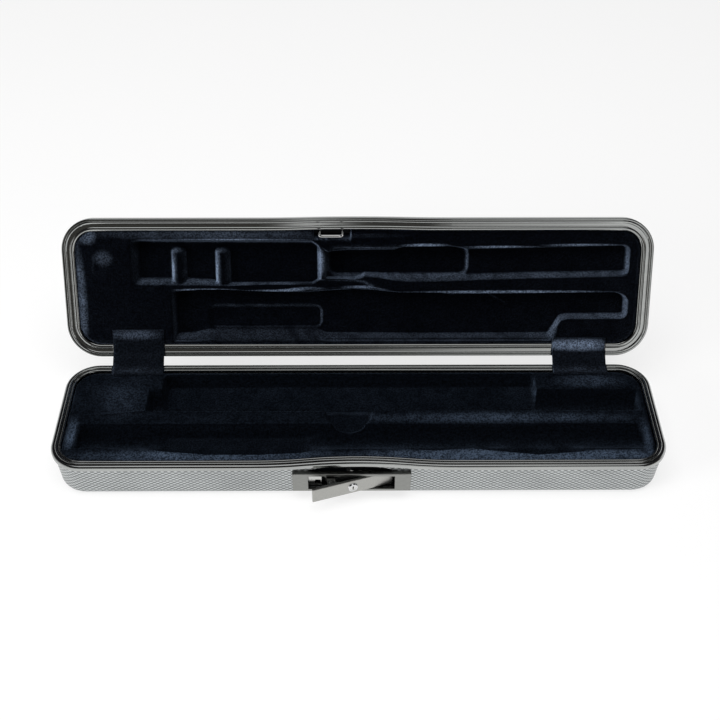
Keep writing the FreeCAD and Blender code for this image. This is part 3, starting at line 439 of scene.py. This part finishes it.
def mesh_lines(half_x, half_y, rows, walls):
    """Grid of points that runs along the rows and is finer beside them and beside the walls."""
    reach = half_x + PAST_OUTLINE
    xs = set(np.round(np.linspace(-reach, reach, int(half_x * LINES_PER_HALF)), 3))
    xs |= {round(wall + off, 3) for wall in walls for off in WALL_LINES}
    xs = np.array(sorted(xs))
    xs = xs[np.append(True, np.diff(xs) > CLOSEST)]
    lines = [np.full_like(xs, -half_y)] + rows(xs) + [np.full_like(xs, half_y)]
    ys = [np.full_like(xs, -half_y - PAST_OUTLINE)]
    for low, high in zip(lines[:-1], lines[1:]):
        count = max(4, int(np.mean(high - low) / ROW_STEP))
        share = np.linspace(0, 1, count, endpoint=False)
        share = share - 0.08 * np.sin(2 * np.pi * share)
        ys += [low + (high - low) * t for t in share]
    ys += [lines[-1], np.full_like(xs, half_y + PAST_OUTLINE)]
    y = np.stack(ys, 1)
    return np.repeat(xs[:, None], y.shape[1], 1), y


# how far the plush's edge drops as it rolls over, and how wide that roll is
ROLL_DROP, ROLL_WIDE = 1.7, 2.3


def plush_face(x, y, half_x, half_y, corner, depth):
    """Points and faces of the upper side: pulled in to the rounded outline, rolled over at its edge."""
    core_x, core_y = half_x - corner, half_y - corner
    from_x, from_y = x - np.clip(x, -core_x, core_x), y - np.clip(y, -core_y, core_y)
    far = np.hypot(from_x, from_y)
    outside = far > corner
    pull = np.where(outside, corner / np.maximum(far, 1e-9), 1.0)
    x, y = x - from_x * (1 - pull), y - from_y * (1 - pull)
    to_side = np.minimum(half_x - np.abs(x), half_y - np.abs(y))
    inset = np.where(far > 0, corner - np.minimum(far, corner), to_side)
    rolled = ROLL_DROP * (1 - np.sqrt(1 - (1 - np.clip(inset / ROLL_WIDE, 0, 1)) ** 2))
    z = SEAM - depth(x, y) - rolled
    number = np.arange(x.size).reshape(x.shape)
    quads = np.stack([number[:-1, :-1], number[1:, :-1], number[1:, 1:], number[:-1, 1:]], -1).reshape(-1, 4)
    quads = quads[~outside.ravel()[quads].all(1)]
    points = np.stack([x.ravel(), y.ravel(), z.ravel()], -1)
    used = np.unique(quads)
    again = -np.ones(len(points), int)
    again[used] = np.arange(len(used))
    return points[used].tolist(), again[quads].tolist()


def close_below(work, core_x, core_y, floor_z):
    """Sides that step down and inwards under the rolled edge, the last down to the floor, and a
    flat underside."""
    loop = [edge for edge in work.edges if edge.is_boundary]
    for drop, inward in ((0.8, 0.0), (0.5, 3.2), (None, 0.8)):
        grown = bmesh.ops.extrude_edge_only(work, edges=loop)["geom"]
        loop = [part for part in grown if isinstance(part, bmesh.types.BMEdge)]
        for vert in {v for edge in loop for v in edge.verts}:
            flat = Vector((vert.co.x - max(-core_x, min(core_x, vert.co.x)),
                           vert.co.y - max(-core_y, min(core_y, vert.co.y)), 0))
            if flat.length > 1e-6:
                vert.co -= flat.normalized() * inward
            vert.co.z = floor_z if drop is None else vert.co.z - drop
    bmesh.ops.contextual_create(work, geom=loop)
    bmesh.ops.recalc_face_normals(work, faces=work.faces)


def lining(name, half_x, half_y, corner, depth, rows, walls, place, floor_z, material):
    """Plush on its former: a height field inside a rounded rectangle, closed underneath."""
    x, y = mesh_lines(half_x, half_y, rows, walls)
    points, faces = plush_face(x, y, half_x, half_y, corner, depth)
    mesh = bpy.data.meshes.new(name)
    mesh.from_pydata(points, [], faces)
    work = bmesh.new()
    work.from_mesh(mesh)
    bmesh.ops.remove_doubles(work, verts=work.verts, dist=0.02)
    bmesh.ops.dissolve_degenerate(work, edges=work.edges, dist=0.001)
    close_below(work, half_x - corner, half_y - corner, floor_z)
    for vert in work.verts:
        vert.co = place(vert.co) * MM
    work.to_mesh(mesh)
    work.free()
    mesh.shade_smooth()
    obj = bpy.data.objects.new(name, mesh)
    bpy.context.scene.collection.objects.link(obj)
    obj.data.materials.append(material)
    return obj


def as_drawn(point):
    """The base's lining stays where it is drawn."""
    return point.copy()


# half length, half depth and corner radius of the plush, and how high its former's underside lies
BASE_OUTLINE = (208.1, 44.1, 16.1)
BASE_FORMER_FLOOR = 10.0
base_walls = (FRONT_BED_LEFT, BACK_BED_LEFT, SPACE_LEFT, NOTCH_LEFT, NOTCH_RIGHT, SPACE_RIGHT, BEDS_RIGHT)
base_lining = lining("base_lining", *BASE_OUTLINE, base_depth, base_rows, base_walls, as_drawn,
                     BASE_FORMER_FLOOR, plush)
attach(base_lining, "base")
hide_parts("base_plush", "base_core")

# Lid lining
# The same plush over a formed tray, glued into the lid. It has a left pocket with two ribs
# across it, a right pocket, and a long one that slopes up to the hinge side.

# painted light, in the open lid: the left edge and its upper corner, the strip above the left pocket
# and the flat beside it, two ribs and a ridge; painted shade on the foot of the left pocket; then
# painted highlights on the lip of the long pocket and the upper lips of the right and left pockets
LID_PAINTED_LIGHT_AND_SHADE = [((-205, 77, 75), (6, 30, 60), 0.4), ((-198, 98, 118), (9, 8, 9), 0.5),
               ((-100, 98, 120), (120, 6, 7), 0.22), ((-187, 90, 103), (9, 7, 8), 0.16),
               ((-137.2, 88, 94), (2.6, 9, 15), 1.7), ((-104.8, 88, 94), (2.6, 9, 15), 1.7),
               ((-27.3, 90, 99), (4.5, 9, 13), 0.7), ((-62, 82, 84.2), (36, 9, 2.6), -1.0),
               ((-112, 80, 81.2), (28, 9, 1.4), 0.9), ((-55, 80, 80.4), (36, 9, 1.4), 0.9),
               ((4, 80, 81.3), (20, 9, 1.2), 0.7), ((112, 79.4, 79.5), (90, 9, 1.4), 0.9),
               ((8, 93.3, 108.3), (26, 9, 1.1), 0.7), ((50, 94.4, 110.9), (22, 9, 1.7), 0.9),
               ((106, 93.9, 109.9), (34, 9, 1.2), 0.8), ((165, 94.4, 111.1), (36, 9, 1.2), 0.8),
               ((-95, 97, 115.0), (72, 9, 1.0), 0.8)]
# the lid's copy of the plush: a darker root and a paler painted sheen than the base's
lid_plush = velvet("nylon_plush_lid", "020306", "76859C", "9FB2D0", 0.05, LID_PAINTED_LIGHT_AND_SHADE)

# the ridge between the left and right pockets, where both ribs stand, and half a rib's width
RIDGE_X = -27.2
RIB_XS, RIB_HALF = (-132.4, -100.0), 5.9
# how deep the pockets are: left, right, the deeper left end of the right one, long, its tray
LEFT_DEPTH, RIGHT_DEPTH, DEEP_END = 10.5, 9.0, 4.2
LONG_DEPTH, TRAY_DEPTH = 11.5, 2.0
# where the left and the long pocket start, where the right and the long one end, and where the
# long pocket's slope comes up at the hinge side
LEFT_START, LONG_START = -168.0, -138.8
RIGHT_END, LONG_END, SLOPE_END = 199.4, 200.6, 42.2
# the notch that the striker's loop comes down through
LOOP_NOTCH_RIGHT, LOOP_NOTCH_BACK, LOOP_NOTCH_DEPTH = -5.0, -36.5, 14.0


def shallower(a, b, soft):
    """The shallower of two depths, rounded in the same way as the deeper one."""
    return -deeper(-a, -b, soft)


def rounded(a, b, radius):
    """Distance inside the corner between two edges, with the corner rounded."""
    near = (a < radius) & (b < radius)
    return np.where(near, radius - np.hypot(radius - a, radius - b), np.minimum(a, b))


def curl(x, start, radius):
    """Rise of an edge that turns up in a quarter circle from start on."""
    return radius * (1 - np.sqrt(1 - np.clip((x - start) / radius, 0, 1) ** 2))


def lid_rows(x):
    """Lines along the lid: upper and lower edge of the pockets, the long pocket's lip, its slope."""
    top_edge = along(x, (-168, -35.4), (-160, -36.7), (-34, -35.8), (-26, -30.5), (-22, -26.8),
                     (-10, -28.0), (27, -28.3), (33, -30.6), (68, -31.4), (77, -29.4), (195, -32.0))
    low_edge = along(x, (-167, -1.9), (-136, -1.7), (-34, -1.9), (-26, -6.8), (-3, -6.2), (2, -7.4),
                     (5, -9.3), (13, -8.1), (25, -5.5), (36, -3.9), (60, -4.1), (120, -6.2), (190, -7.7),
                     (199, -7.9))
    lip = along(x, (-138, 2.4), (-118, 1.0), (-100, 0.9), (-75, 2.1), (-39, 3.1), (-24, 2.0), (-4, 0.7),
                (5, 1.2), (12, 1.6), (28, 3.2), (60, 3.6), (69, 4.6), (190, 3.4), (200, 6.1))
    rear = along(x, (-138, 37.0), (-122, 36.0), (-113, 33.6), (-30, 33.6), (-24, 36.4), (60, 37.3),
                 (143, 36.8), (146, 34.0), (151, 25.6), (156, 24.3), (201, 24.3))
    return [top_edge, low_edge, lip, rear]


def left_pocket(x, y, top_edge, low_edge):
    """A pocket with two ribs across it."""
    inside = rounded(-26.6 - x, y - top_edge, 4.0)
    pocket = LEFT_DEPTH * ease((inside + 0.4) / 4.4) * ease((x - LEFT_START) / 7.0)
    pocket = pocket * ease((low_edge - y + 0.3) / along(x, (-128, 5.0), (-108, 3.6), (-92, 0.9)))
    for rib in RIB_XS:
        off = np.clip(np.abs(x - rib) / RIB_HALF, 0, 1)
        crown = 2.4 + 12.0 * (1 - np.sqrt(1 - off ** 2)) + 9.0 * ease((-25.4 - y) / 4.6)
        pocket = shallower(pocket, crown, 1.6)
    return FLAT + pocket * (x < RIDGE_X)


def right_pocket(x, y, top_edge, low_edge):
    """A pocket that is deeper at its left end."""
    lower = low_edge - curl(x, 194.4, 5.0) - y
    lower = ease((lower + 0.3) / along(x, (-24, 0.8), (8, 0.8), (14, 1.6), (36, 5.2), (199, 4.2)))
    inside = rounded(RIGHT_END - x, y - top_edge, 5.0)
    pocket = RIGHT_DEPTH * ease((x + 25.8) / 3.0) * ease((inside + 0.4) / 2.6) * lower
    deep = DEEP_END * ease((cell(x, y, -24.5, 83.0, -32.5, -5.5, 9.0) - 0.8) / 3.2) * lower
    return FLAT + (pocket + deep) * (x > RIDGE_X)


def long_pocket(x, y, lip, rear):
    """A pocket with a slope up to the hinge side, which ends upright at the right, and a shallow
    tray in its floor."""
    inside = rounded(LONG_END - x, y - lip, 6.0)
    bed = LONG_DEPTH * ease((inside + 0.3) / 2.6) * ease((x - LONG_START) / 3.2)
    slope = LONG_DEPTH * np.clip((SLOPE_END - y) / (SLOPE_END - rear), 0, 1)
    square = LONG_DEPTH * ease((rear - curl(x, 195.0, 5.6) - y + 0.4) / 3.0)
    right_share = ease((x - 142.0) / 8.0)
    pocket = shallower(bed, slope * (1 - right_share) + square * right_share, 1.4)
    tray = TRAY_DEPTH * ease((cell(x, y, -112.0, -26.5, 15.0, 33.6, 6.0) + 0.3) / 2.6)
    return FLAT + pocket + tray


def lid_depth(x, y):
    """Height of the plush above the seam with the lid shut."""
    top_edge, low_edge, lip, rear = lid_rows(x)
    level = FLAT + hump(x) * ease((-37.0 - y) / 3.5) + 0.5 * np.exp(-((y - 40.9) / 0.6) ** 2)
    # saddle: the strip between the pockets and the long pocket dips at the ridge and right of it
    edge = along(x, (-60, -6.6), (-24, -6.6), (-3, -6.0), (3.4, -5.2), (7, -3.2), (11.6, -0.9), (20, 1.4),
                 (28.6, 2.7), (32, 4.0))
    saddle = 3.4 * ease((y - edge + 0.4) / 1.8) * ease((x + 62.0) / 26.0)
    level = level + saddle * ease((32.0 - x) / 2.0) * ease((8 - y) / 3)
    upper = deeper(left_pocket(x, y, top_edge, low_edge), right_pocket(x, y, top_edge, low_edge), 0.5)
    cut = deeper(upper, long_pocket(x, y, lip, rear), 1.0)
    # the plush stands a little proud along the upper lips
    piping = np.exp(-((y - top_edge + 0.7) / 0.7) ** 2) * ease((x + 166) / 6) * ease((196 - x) / 4)
    piping = piping + np.exp(-((y - lip + 0.7) / 0.7) ** 2) * ease((x + 137) / 6) * ease((197 - x) / 4)
    surface = deeper(level - 1.3 * piping, cut - 0.3, 1.0)
    inside = cell(x, y, NOTCH_LEFT, LOOP_NOTCH_RIGHT, OUT_FRONT, LOOP_NOTCH_BACK, 1.5)
    surface = deeper(surface, LOOP_NOTCH_DEPTH * ease(inside / 2.0 + 0.4), 1.0)
    # shallow creases where the plush was pulled over the corners
    return surface - folds(x, y, 0.9, (97.0, 5.6, 110.0, 12.8, 0.7), (-192.6, -24.5, -193.4, -13.2, 0.6),
                           (-189.0, -22.4, -176.5, -24.6, 0.5), (-200.5, -39.5, -203.5, -31.0, 0.5))


def open_lid(point):
    """From where the lid is drawn, shut, to where it stands open."""
    y, z = point.y - HINGE_Y, point.z - SEAM
    cosine, sine = math.cos(LID_ANGLE), math.sin(LID_ANGLE)
    return Vector((point.x, HINGE_Y + y * cosine + z * sine, SEAM - y * sine + z * cosine))


def lid_height(point):
    """A lining is drawn downwards from the seam; the lid's stands above it."""
    return open_lid(Vector((point.x, point.y, 2 * SEAM - point.z)))


# the same three sizes as for the base, and how high the tray's top lies with the lid shut
LID_OUTLINE = (207.1, 43.1, 15.1)
LID_TRAY_TOP = 54.0
# where the pockets' ends, the ribs' flanks and the notch cross the lid
lid_walls = (-167, LONG_START, *[rib + side for rib in RIB_XS for side in (-RIB_HALF, RIB_HALF)],
             NOTCH_LEFT, -29.0, -25.4, LOOP_NOTCH_RIGHT, 82.0, RIGHT_END)
lid_lining = lining("lid_lining", *LID_OUTLINE, lid_depth, lid_rows, lid_walls, lid_height,
                    2 * SEAM - LID_TRAY_TOP, lid_plush)
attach(lid_lining, "lid")
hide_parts("lid_plush", "lid_core")

# Straps
# Plush strips glued down in front of each hinge. They bridge the gap between base and lid and
# hide the hinge leaves; each is drawn bent to the open lid.

# painted light: where the right strap faces the light, and on the left strap's upper part
STRAP_PAINTED_LIGHT = [((165, 60, 44), (34, 6, 6), 1.3), ((-166, 63.5, 51.5), (24, 6, 5), 0.35)]
# the straps' copy of the plush: a lighter root and its own painted sheen
strap_plush = velvet("nylon_plush_strap", "080B10", "6A788E", "B4C4DC", 0.08, STRAP_PAINTED_LIGHT)
STRAP_THICK = 1.3
# faces across a strap
STRAP_STEPS = 30
# the strap's middle line on the base, then on the lid as if shut: y and rise over the seam
ON_BASE = [(40.2, -0.6), (43.0, -0.4), (46.0, -0.2), (48.8, 0.8), (52.8, 3.7)]
ON_LID = [(48.8, -0.8), (46.0, 0.2), (42.0, 0.5), (38.0, 0.6)]


def strap_path(name, lid_end):
    """Points along the strap's middle line, smoothed by a spline through the glued ends."""
    line = [Vector((0, y, SEAM + rise)) for y, rise in ON_BASE]
    line += [open_lid(Vector((0, y, SEAM + rise))) for y, rise in ON_LID + [(lid_end, 0.6)]]
    curve = bpy.data.curves.new(name + "_line", "CURVE")
    curve.dimensions = "3D"
    spline = curve.splines.new("NURBS")
    spline.points.add(len(line) - 1)
    for point, at in zip(spline.points, line):
        point.co = (*at, 1)
    spline.order_u = 3
    spline.use_endpoint_u = True
    curve.resolution_u = 5
    holder = bpy.data.objects.new(name + "_line", curve)
    bpy.context.scene.collection.objects.link(holder)
    drawn = bpy.data.meshes.new_from_object(holder)
    path = np.array([v.co for v in drawn.vertices])
    bpy.data.objects.remove(holder)
    bpy.data.meshes.remove(drawn)
    return path


def strap_rows(work, path, x, width):
    """Rows of points across the strap, first on its upper side and then on its under side. It
    thins towards its edges and ends, and ripples a little."""
    ahead = np.gradient(path, axis=0)
    ahead /= np.linalg.norm(ahead, axis=1)[:, None]
    outward = np.stack([0 * ahead[:, 0], -ahead[:, 2], ahead[:, 1]], -1)
    rows = []
    for side in (1, -1):
        for number, (centre, out) in enumerate(zip(path, outward)):
            end = min(number, len(path) - 1 - number)
            row = []
            for step in range(STRAP_STEPS + 1):
                across = 2 * step / STRAP_STEPS - 1
                thin = math.sqrt(max(0.0, 1 - abs(across) ** 14)) * math.sqrt(min(1.0, (end + 0.4) / 2.2))
                ripple = 0.2 * math.sin(across * 5 + x) * math.sin(number * 0.22 + x)
                at = centre + out * (side * STRAP_THICK / 2 * thin + ripple)
                row.append(work.verts.new((x + across * width / 2, at[1], at[2])))
            rows.append(row)
    return rows


def strap_faces(work, rows, count):
    """Joins the rows to two sides, two edges and two ends."""
    for side in (0, 1):
        for number in range(count - 1):
            first, second = rows[side * count + number], rows[side * count + number + 1]
            for step in range(STRAP_STEPS):
                quad = (first[step], first[step + 1], second[step + 1], second[step])
                work.faces.new(quad if side else quad[::-1])
    for number in range(count - 1):
        top, under = rows[number], rows[count + number]
        for step in (0, STRAP_STEPS):
            work.faces.new((top[step], rows[number + 1][step], rows[count + number + 1][step], under[step]))
    for number in (0, count - 1):
        top, under = rows[number], rows[count + number]
        for step in range(STRAP_STEPS):
            work.faces.new((top[step], top[step + 1], under[step + 1], under[step]))
    bmesh.ops.recalc_face_normals(work, faces=work.faces)


def strap(name, x, width, lid_end, node):
    """A thin soft strip from the base's plush up to lid_end on the lid."""
    path = strap_path(name, lid_end)
    work = bmesh.new()
    strap_faces(work, strap_rows(work, path, x, width), len(path))
    for vert in work.verts:
        vert.co *= MM
    mesh = bpy.data.meshes.new(name)
    work.to_mesh(mesh)
    work.free()
    mesh.shade_smooth()
    obj = bpy.data.objects.new(name, mesh)
    bpy.context.scene.collection.objects.link(obj)
    mesh.materials.append(strap_plush)
    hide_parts(node)
    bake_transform(obj)


strap("hinge_strap_left", -164.0, 38.0, 31.5, "strap_left")
strap("hinge_strap_right", 165.0, 40.0, 38.4, "strap_right")

# Hinges
# Pressed steel leaves with rolled knuckles on a steel pin, nickel plated. Dome-headed rivets
# hold the leaves to the shells.

# lines per millimetre of the rolled strip: 4 mm long and a third of a millimetre apart
STRIP_LINES = (0.25, 3.0, 3.0)


def plated(name, colour, rough, spread=0.06):
    """Plated metal: bright and even, with the strip's fine lines in its tone and its gloss."""
    material, tree = new_material(name)
    place = add(tree, "ShaderNodeTexCoord")
    mm = add(tree, "ShaderNodeVectorMath", {"operation": "SCALE", "Scale": 1 / MM},
             {0: place.outputs["Object"]}).outputs[0]
    rolled = add(tree, "ShaderNodeMapping", {"Scale": STRIP_LINES}, {"Vector": mm})
    lines = add(tree, "ShaderNodeTexNoise", {"Scale": 1.0, "Detail": 4.0}, {"Vector": rolled.outputs[0]})
    tone = add(tree, "ShaderNodeValToRGB", None, {0: lines.outputs[0]})
    groove, face = tone.color_ramp.elements
    groove.position = 0.3
    groove.color = (*[c * (1 - spread) for c in linear(colour)[:3]], 1)
    face.position = 0.7
    face.color = (*[min(1.0, c * (1 + spread)) for c in linear(colour)[:3]], 1)
    drift = add(tree, "ShaderNodeMapRange", {"To Min": rough * 0.85, "To Max": rough * 1.2},
                {0: lines.outputs[0]})
    bump = add(tree, "ShaderNodeBump", {"Strength": 0.08, "Distance": 0.05 * MM},
               {"Height": lines.outputs[0]})
    skin = add(tree, "ShaderNodeBsdfPrincipled", {"Metallic": 1.0},
               {"Base Color": tone.outputs[0], "Roughness": drift.outputs[0], "Normal": bump.outputs[0]})
    add(tree, "ShaderNodeOutputMaterial", None, {"Surface": skin.outputs[0]})
    return material


nickel = plated("nickel_plated_steel", "B8B9B4", 0.28)
for side in ("left", "right"):
    dress("hinge_base_leaf_" + side, nickel)
    dress("hinge_lid_leaf_" + side, nickel)
    dress("hinge_pin_" + side, nickel)
dress("hinge_base_rivets", nickel)
dress("hinge_lid_rivets", nickel)

# Latch plate and what it carries
# A pressed steel pan with a window, satin nickel plated. Studs on its back pass through the
# wall and take round nuts; a bent keeper and a flat spring sit in the recess behind it.

# satin nickel spreads the light to a soft grey sheen; the small bright parts glint in the dark recess
satin = plated("satin_nickel_plate", "8F908D", 0.34, 0.1)
bright_steel = plated("bright_plated_steel", "C4C5C2", 0.2)
dress("latch_plate", satin)
dress("latch_nuts", bright_steel)
dress("lever_pin", bright_steel)
dress("catch_bracket", bright_steel)
dress("catch_spring", bright_steel)

# Lever and lock
# The lever is steel sheet with the same satin plate; its colour is a shade lighter as painted light. The
# lock's barrel is turned brass under bright chrome, with the plug and its slot inside it.

# the lever's colour is painted paler than the plate's, as painted light, and chrome mirrors the room nearly
# sharp
satin_lever = plated("satin_nickel_lever", "A9A9A5", 0.3, 0.1)
chrome = plated("bright_chrome", "D8D9DA", 0.09, 0.02)
dress("latch_lever", satin_lever)
dress("lever_claw", bright_steel)
dress("lock_barrel", chrome)
dress("key_plug", plated("worn_chrome_plug", "D4D4D2", 0.2))
dress("lock_cam", bright_steel)

# Striker
# Chromed wire bent to a loop, riveted into a plate of blackened steel. Screws hold the plate
# to the boss in the lid's wall.

dress("striker_loop", chrome)
# blackened steel hardly shows against the plush, apart from a dull grey edge
blackened = plated("blackened_steel", "1B1C1E", 0.45)
dress("striker_plate", blackened)
dress("striker_screws", blackened)

# Paper floor
# A sheet of white paper on a table, wide enough to fill the picture. It lies flat under the
# case and takes its shadow.

PAPER_HALF = 4.0
CORNERS = [(-PAPER_HALF, -PAPER_HALF, 0), (PAPER_HALF, -PAPER_HALF, 0), (PAPER_HALF, PAPER_HALF, 0),
           (-PAPER_HALF, PAPER_HALF, 0)]
floor_mesh = bpy.data.meshes.new("paper")
floor_mesh.from_pydata(CORNERS, [], [(0, 1, 2, 3)])
floor = bpy.data.objects.new("paper", floor_mesh)
bpy.context.scene.collection.objects.link(floor)

# Matt paper: a grey that takes the shadow, with a glow that makes it white to the camera and
# to whatever mirrors it.
paper, tree = new_material("matt_white_paper")
path = add(tree, "ShaderNodeLightPath")
seen = add(tree, "ShaderNodeMath", {"operation": "MAXIMUM"},
           {0: path.outputs["Is Camera Ray"], 1: path.outputs["Is Glossy Ray"]})
seen = add(tree, "ShaderNodeMath", {"operation": "MAXIMUM"},
           {0: seen.outputs[0], 1: path.outputs["Is Transmission Ray"]})
glow = add(tree, "ShaderNodeMath", {"operation": "MULTIPLY", 1: 0.74}, {0: seen.outputs[0]})
matt = add(tree, "ShaderNodeBsdfDiffuse", {"Color": linear("959595")})
shine = add(tree, "ShaderNodeEmission", None, {"Strength": glow.outputs[0]})
both = add(tree, "ShaderNodeAddShader", None, {0: matt.outputs[0], 1: shine.outputs[0]})
add(tree, "ShaderNodeOutputMaterial", None, {"Surface": both.outputs[0]})
floor_mesh.materials.append(paper)

# Room
# A dim studio. What shines mirrors a pale cloth behind the case, pale cards at its sides,
# overhead and in front, and a darker room beyond them. The camera sees white all round.

world = bpy.data.worlds.new("studio")
world.use_nodes = True
tree = world.node_tree
tree.nodes.clear()
around = add(tree, "ShaderNodeTexCoord").outputs["Generated"]
toward = add(tree, "ShaderNodeSeparateXYZ", None, {0: around}).outputs
TO_RIGHT, TO_BACK, UPWARDS = 0, 1, 2


def card(*limits):
    """Share of a soft-edged patch of the room. Each limit is a direction, where the patch
    starts along it and where it is full."""
    found = None
    for direction, start, full in limits:
        part = add(tree, "ShaderNodeMapRange", {"interpolation_type": "SMOOTHSTEP", 1: start, 2: full},
                   {0: toward[direction]}).outputs[0]
        if found is not None:
            part = add(tree, "ShaderNodeMath", {"operation": "MULTIPLY"}, {0: found, 1: part}).outputs[0]
        found = part
    return found


dim = add(tree, "ShaderNodeMix", {"data_type": "RGBA", 6: linear("69655F"), 7: linear("272729")},
          {0: card((UPWARDS, 0.22, 0.5))}).outputs[2]
front_dark = card((TO_BACK, -0.6, -0.8), (UPWARDS, -0.2, -0.05), (UPWARDS, 0.7, 0.5))
back_cloth = card((TO_BACK, 0.25, 0.6), (UPWARDS, 0.5, 0.3))
right_card = card((TO_RIGHT, 0.5, 0.65), (UPWARDS, 0.6, 0.4), (TO_BACK, -0.1, 0.2))
left_card = card((TO_RIGHT, -0.6, -0.85), (UPWARDS, 0.5, 0.3))
top_card = card((UPWARDS, 0.88, 0.96))
front_card = card((TO_RIGHT, -0.05, 0.26), (TO_RIGHT, 0.55, 0.4), (TO_BACK, -0.75, -0.85),
                  (UPWARDS, -0.1, 0.05), (UPWARDS, 0.55, 0.4))
room = dim
for share, colour in ((front_dark, "4B4A47"), (back_cloth, "E1E2E5"), (right_card, "FFFFFF"),
                      (left_card, "CBCBCB"), (top_card, "FFFFFF"), (front_card, "FFFFFF")):
    room = add(tree, "ShaderNodeMix", {"data_type": "RGBA", 7: linear(colour)},
               {0: share, 6: room}).outputs[2]
path = add(tree, "ShaderNodeLightPath")
room = add(tree, "ShaderNodeMix", {"data_type": "RGBA"},
           {0: path.outputs["Is Glossy Ray"], 6: dim, 7: room}).outputs[2]
room = add(tree, "ShaderNodeMix", {"data_type": "RGBA", 7: linear("FFFFFF")},
           {0: path.outputs["Is Camera Ray"], 6: room}).outputs[2]
glow = add(tree, "ShaderNodeBackground", None, {0: room})
add(tree, "ShaderNodeOutputWorld", None, {0: glow.outputs[0]})
bpy.context.scene.world = world

# Lamps
# A wide soft light overhead does most of the work. A weak one at the front right and a
# stronger one at the left open up the walls.


def soft_light(name, place, aim, wide, high, power):
    """A soft box in metres and watts that lights the case but isn't mirrored in it."""
    lamp = bpy.data.lights.new(name, "AREA")
    lamp.shape = "RECTANGLE"
    lamp.size = wide
    lamp.size_y = high
    lamp.energy = power
    obj = bpy.data.objects.new(name, lamp)
    obj.location = place
    obj.rotation_euler = (Vector(aim) - Vector(place)).to_track_quat("-Z", "Y").to_euler()
    obj.visible_glossy = False
    bpy.context.scene.collection.objects.link(obj)


soft_light("overhead", (0, -0.35, 1.7), (0, 0, 0), 1.8, 1.1, 24)
soft_light("front_right", (1.3, -1.5, 0.75), (0, 0, 0.05), 0.8, 0.8, 3)
soft_light("left", (-1.5, -0.75, 0.6), (0, 0, 0.05), 0.7, 0.8, 20)

# Camera
# It stands in front of the case and above it, and looks down on it, turned a little to the
# right and almost level.

CAMERA_AT = (-5.13, -570.98, 631.94)
YAW, PITCH, ROLL = 0.0102, 0.7629, 0.0047
LENS, SENSOR = 57.65, 36.0
forward = Vector((math.sin(YAW) * math.cos(PITCH), math.cos(YAW) * math.cos(PITCH), -math.sin(PITCH)))
right = Vector((math.cos(YAW), -math.sin(YAW), 0))
up = right.cross(forward)
right, up = right * math.cos(ROLL) + up * math.sin(ROLL), up * math.cos(ROLL) - right * math.sin(ROLL)
camera_data = bpy.data.cameras.new("camera")
camera_data.lens = LENS
camera_data.sensor_width = SENSOR
camera = bpy.data.objects.new("camera", camera_data)
camera.matrix_world = Matrix((right, up, -forward)).transposed().to_4x4()
camera.location = Vector(CAMERA_AT) * MM
bpy.context.scene.collection.objects.link(camera)
bpy.context.scene.camera = camera
bpy.context.scene.view_settings.view_transform = "Standard"
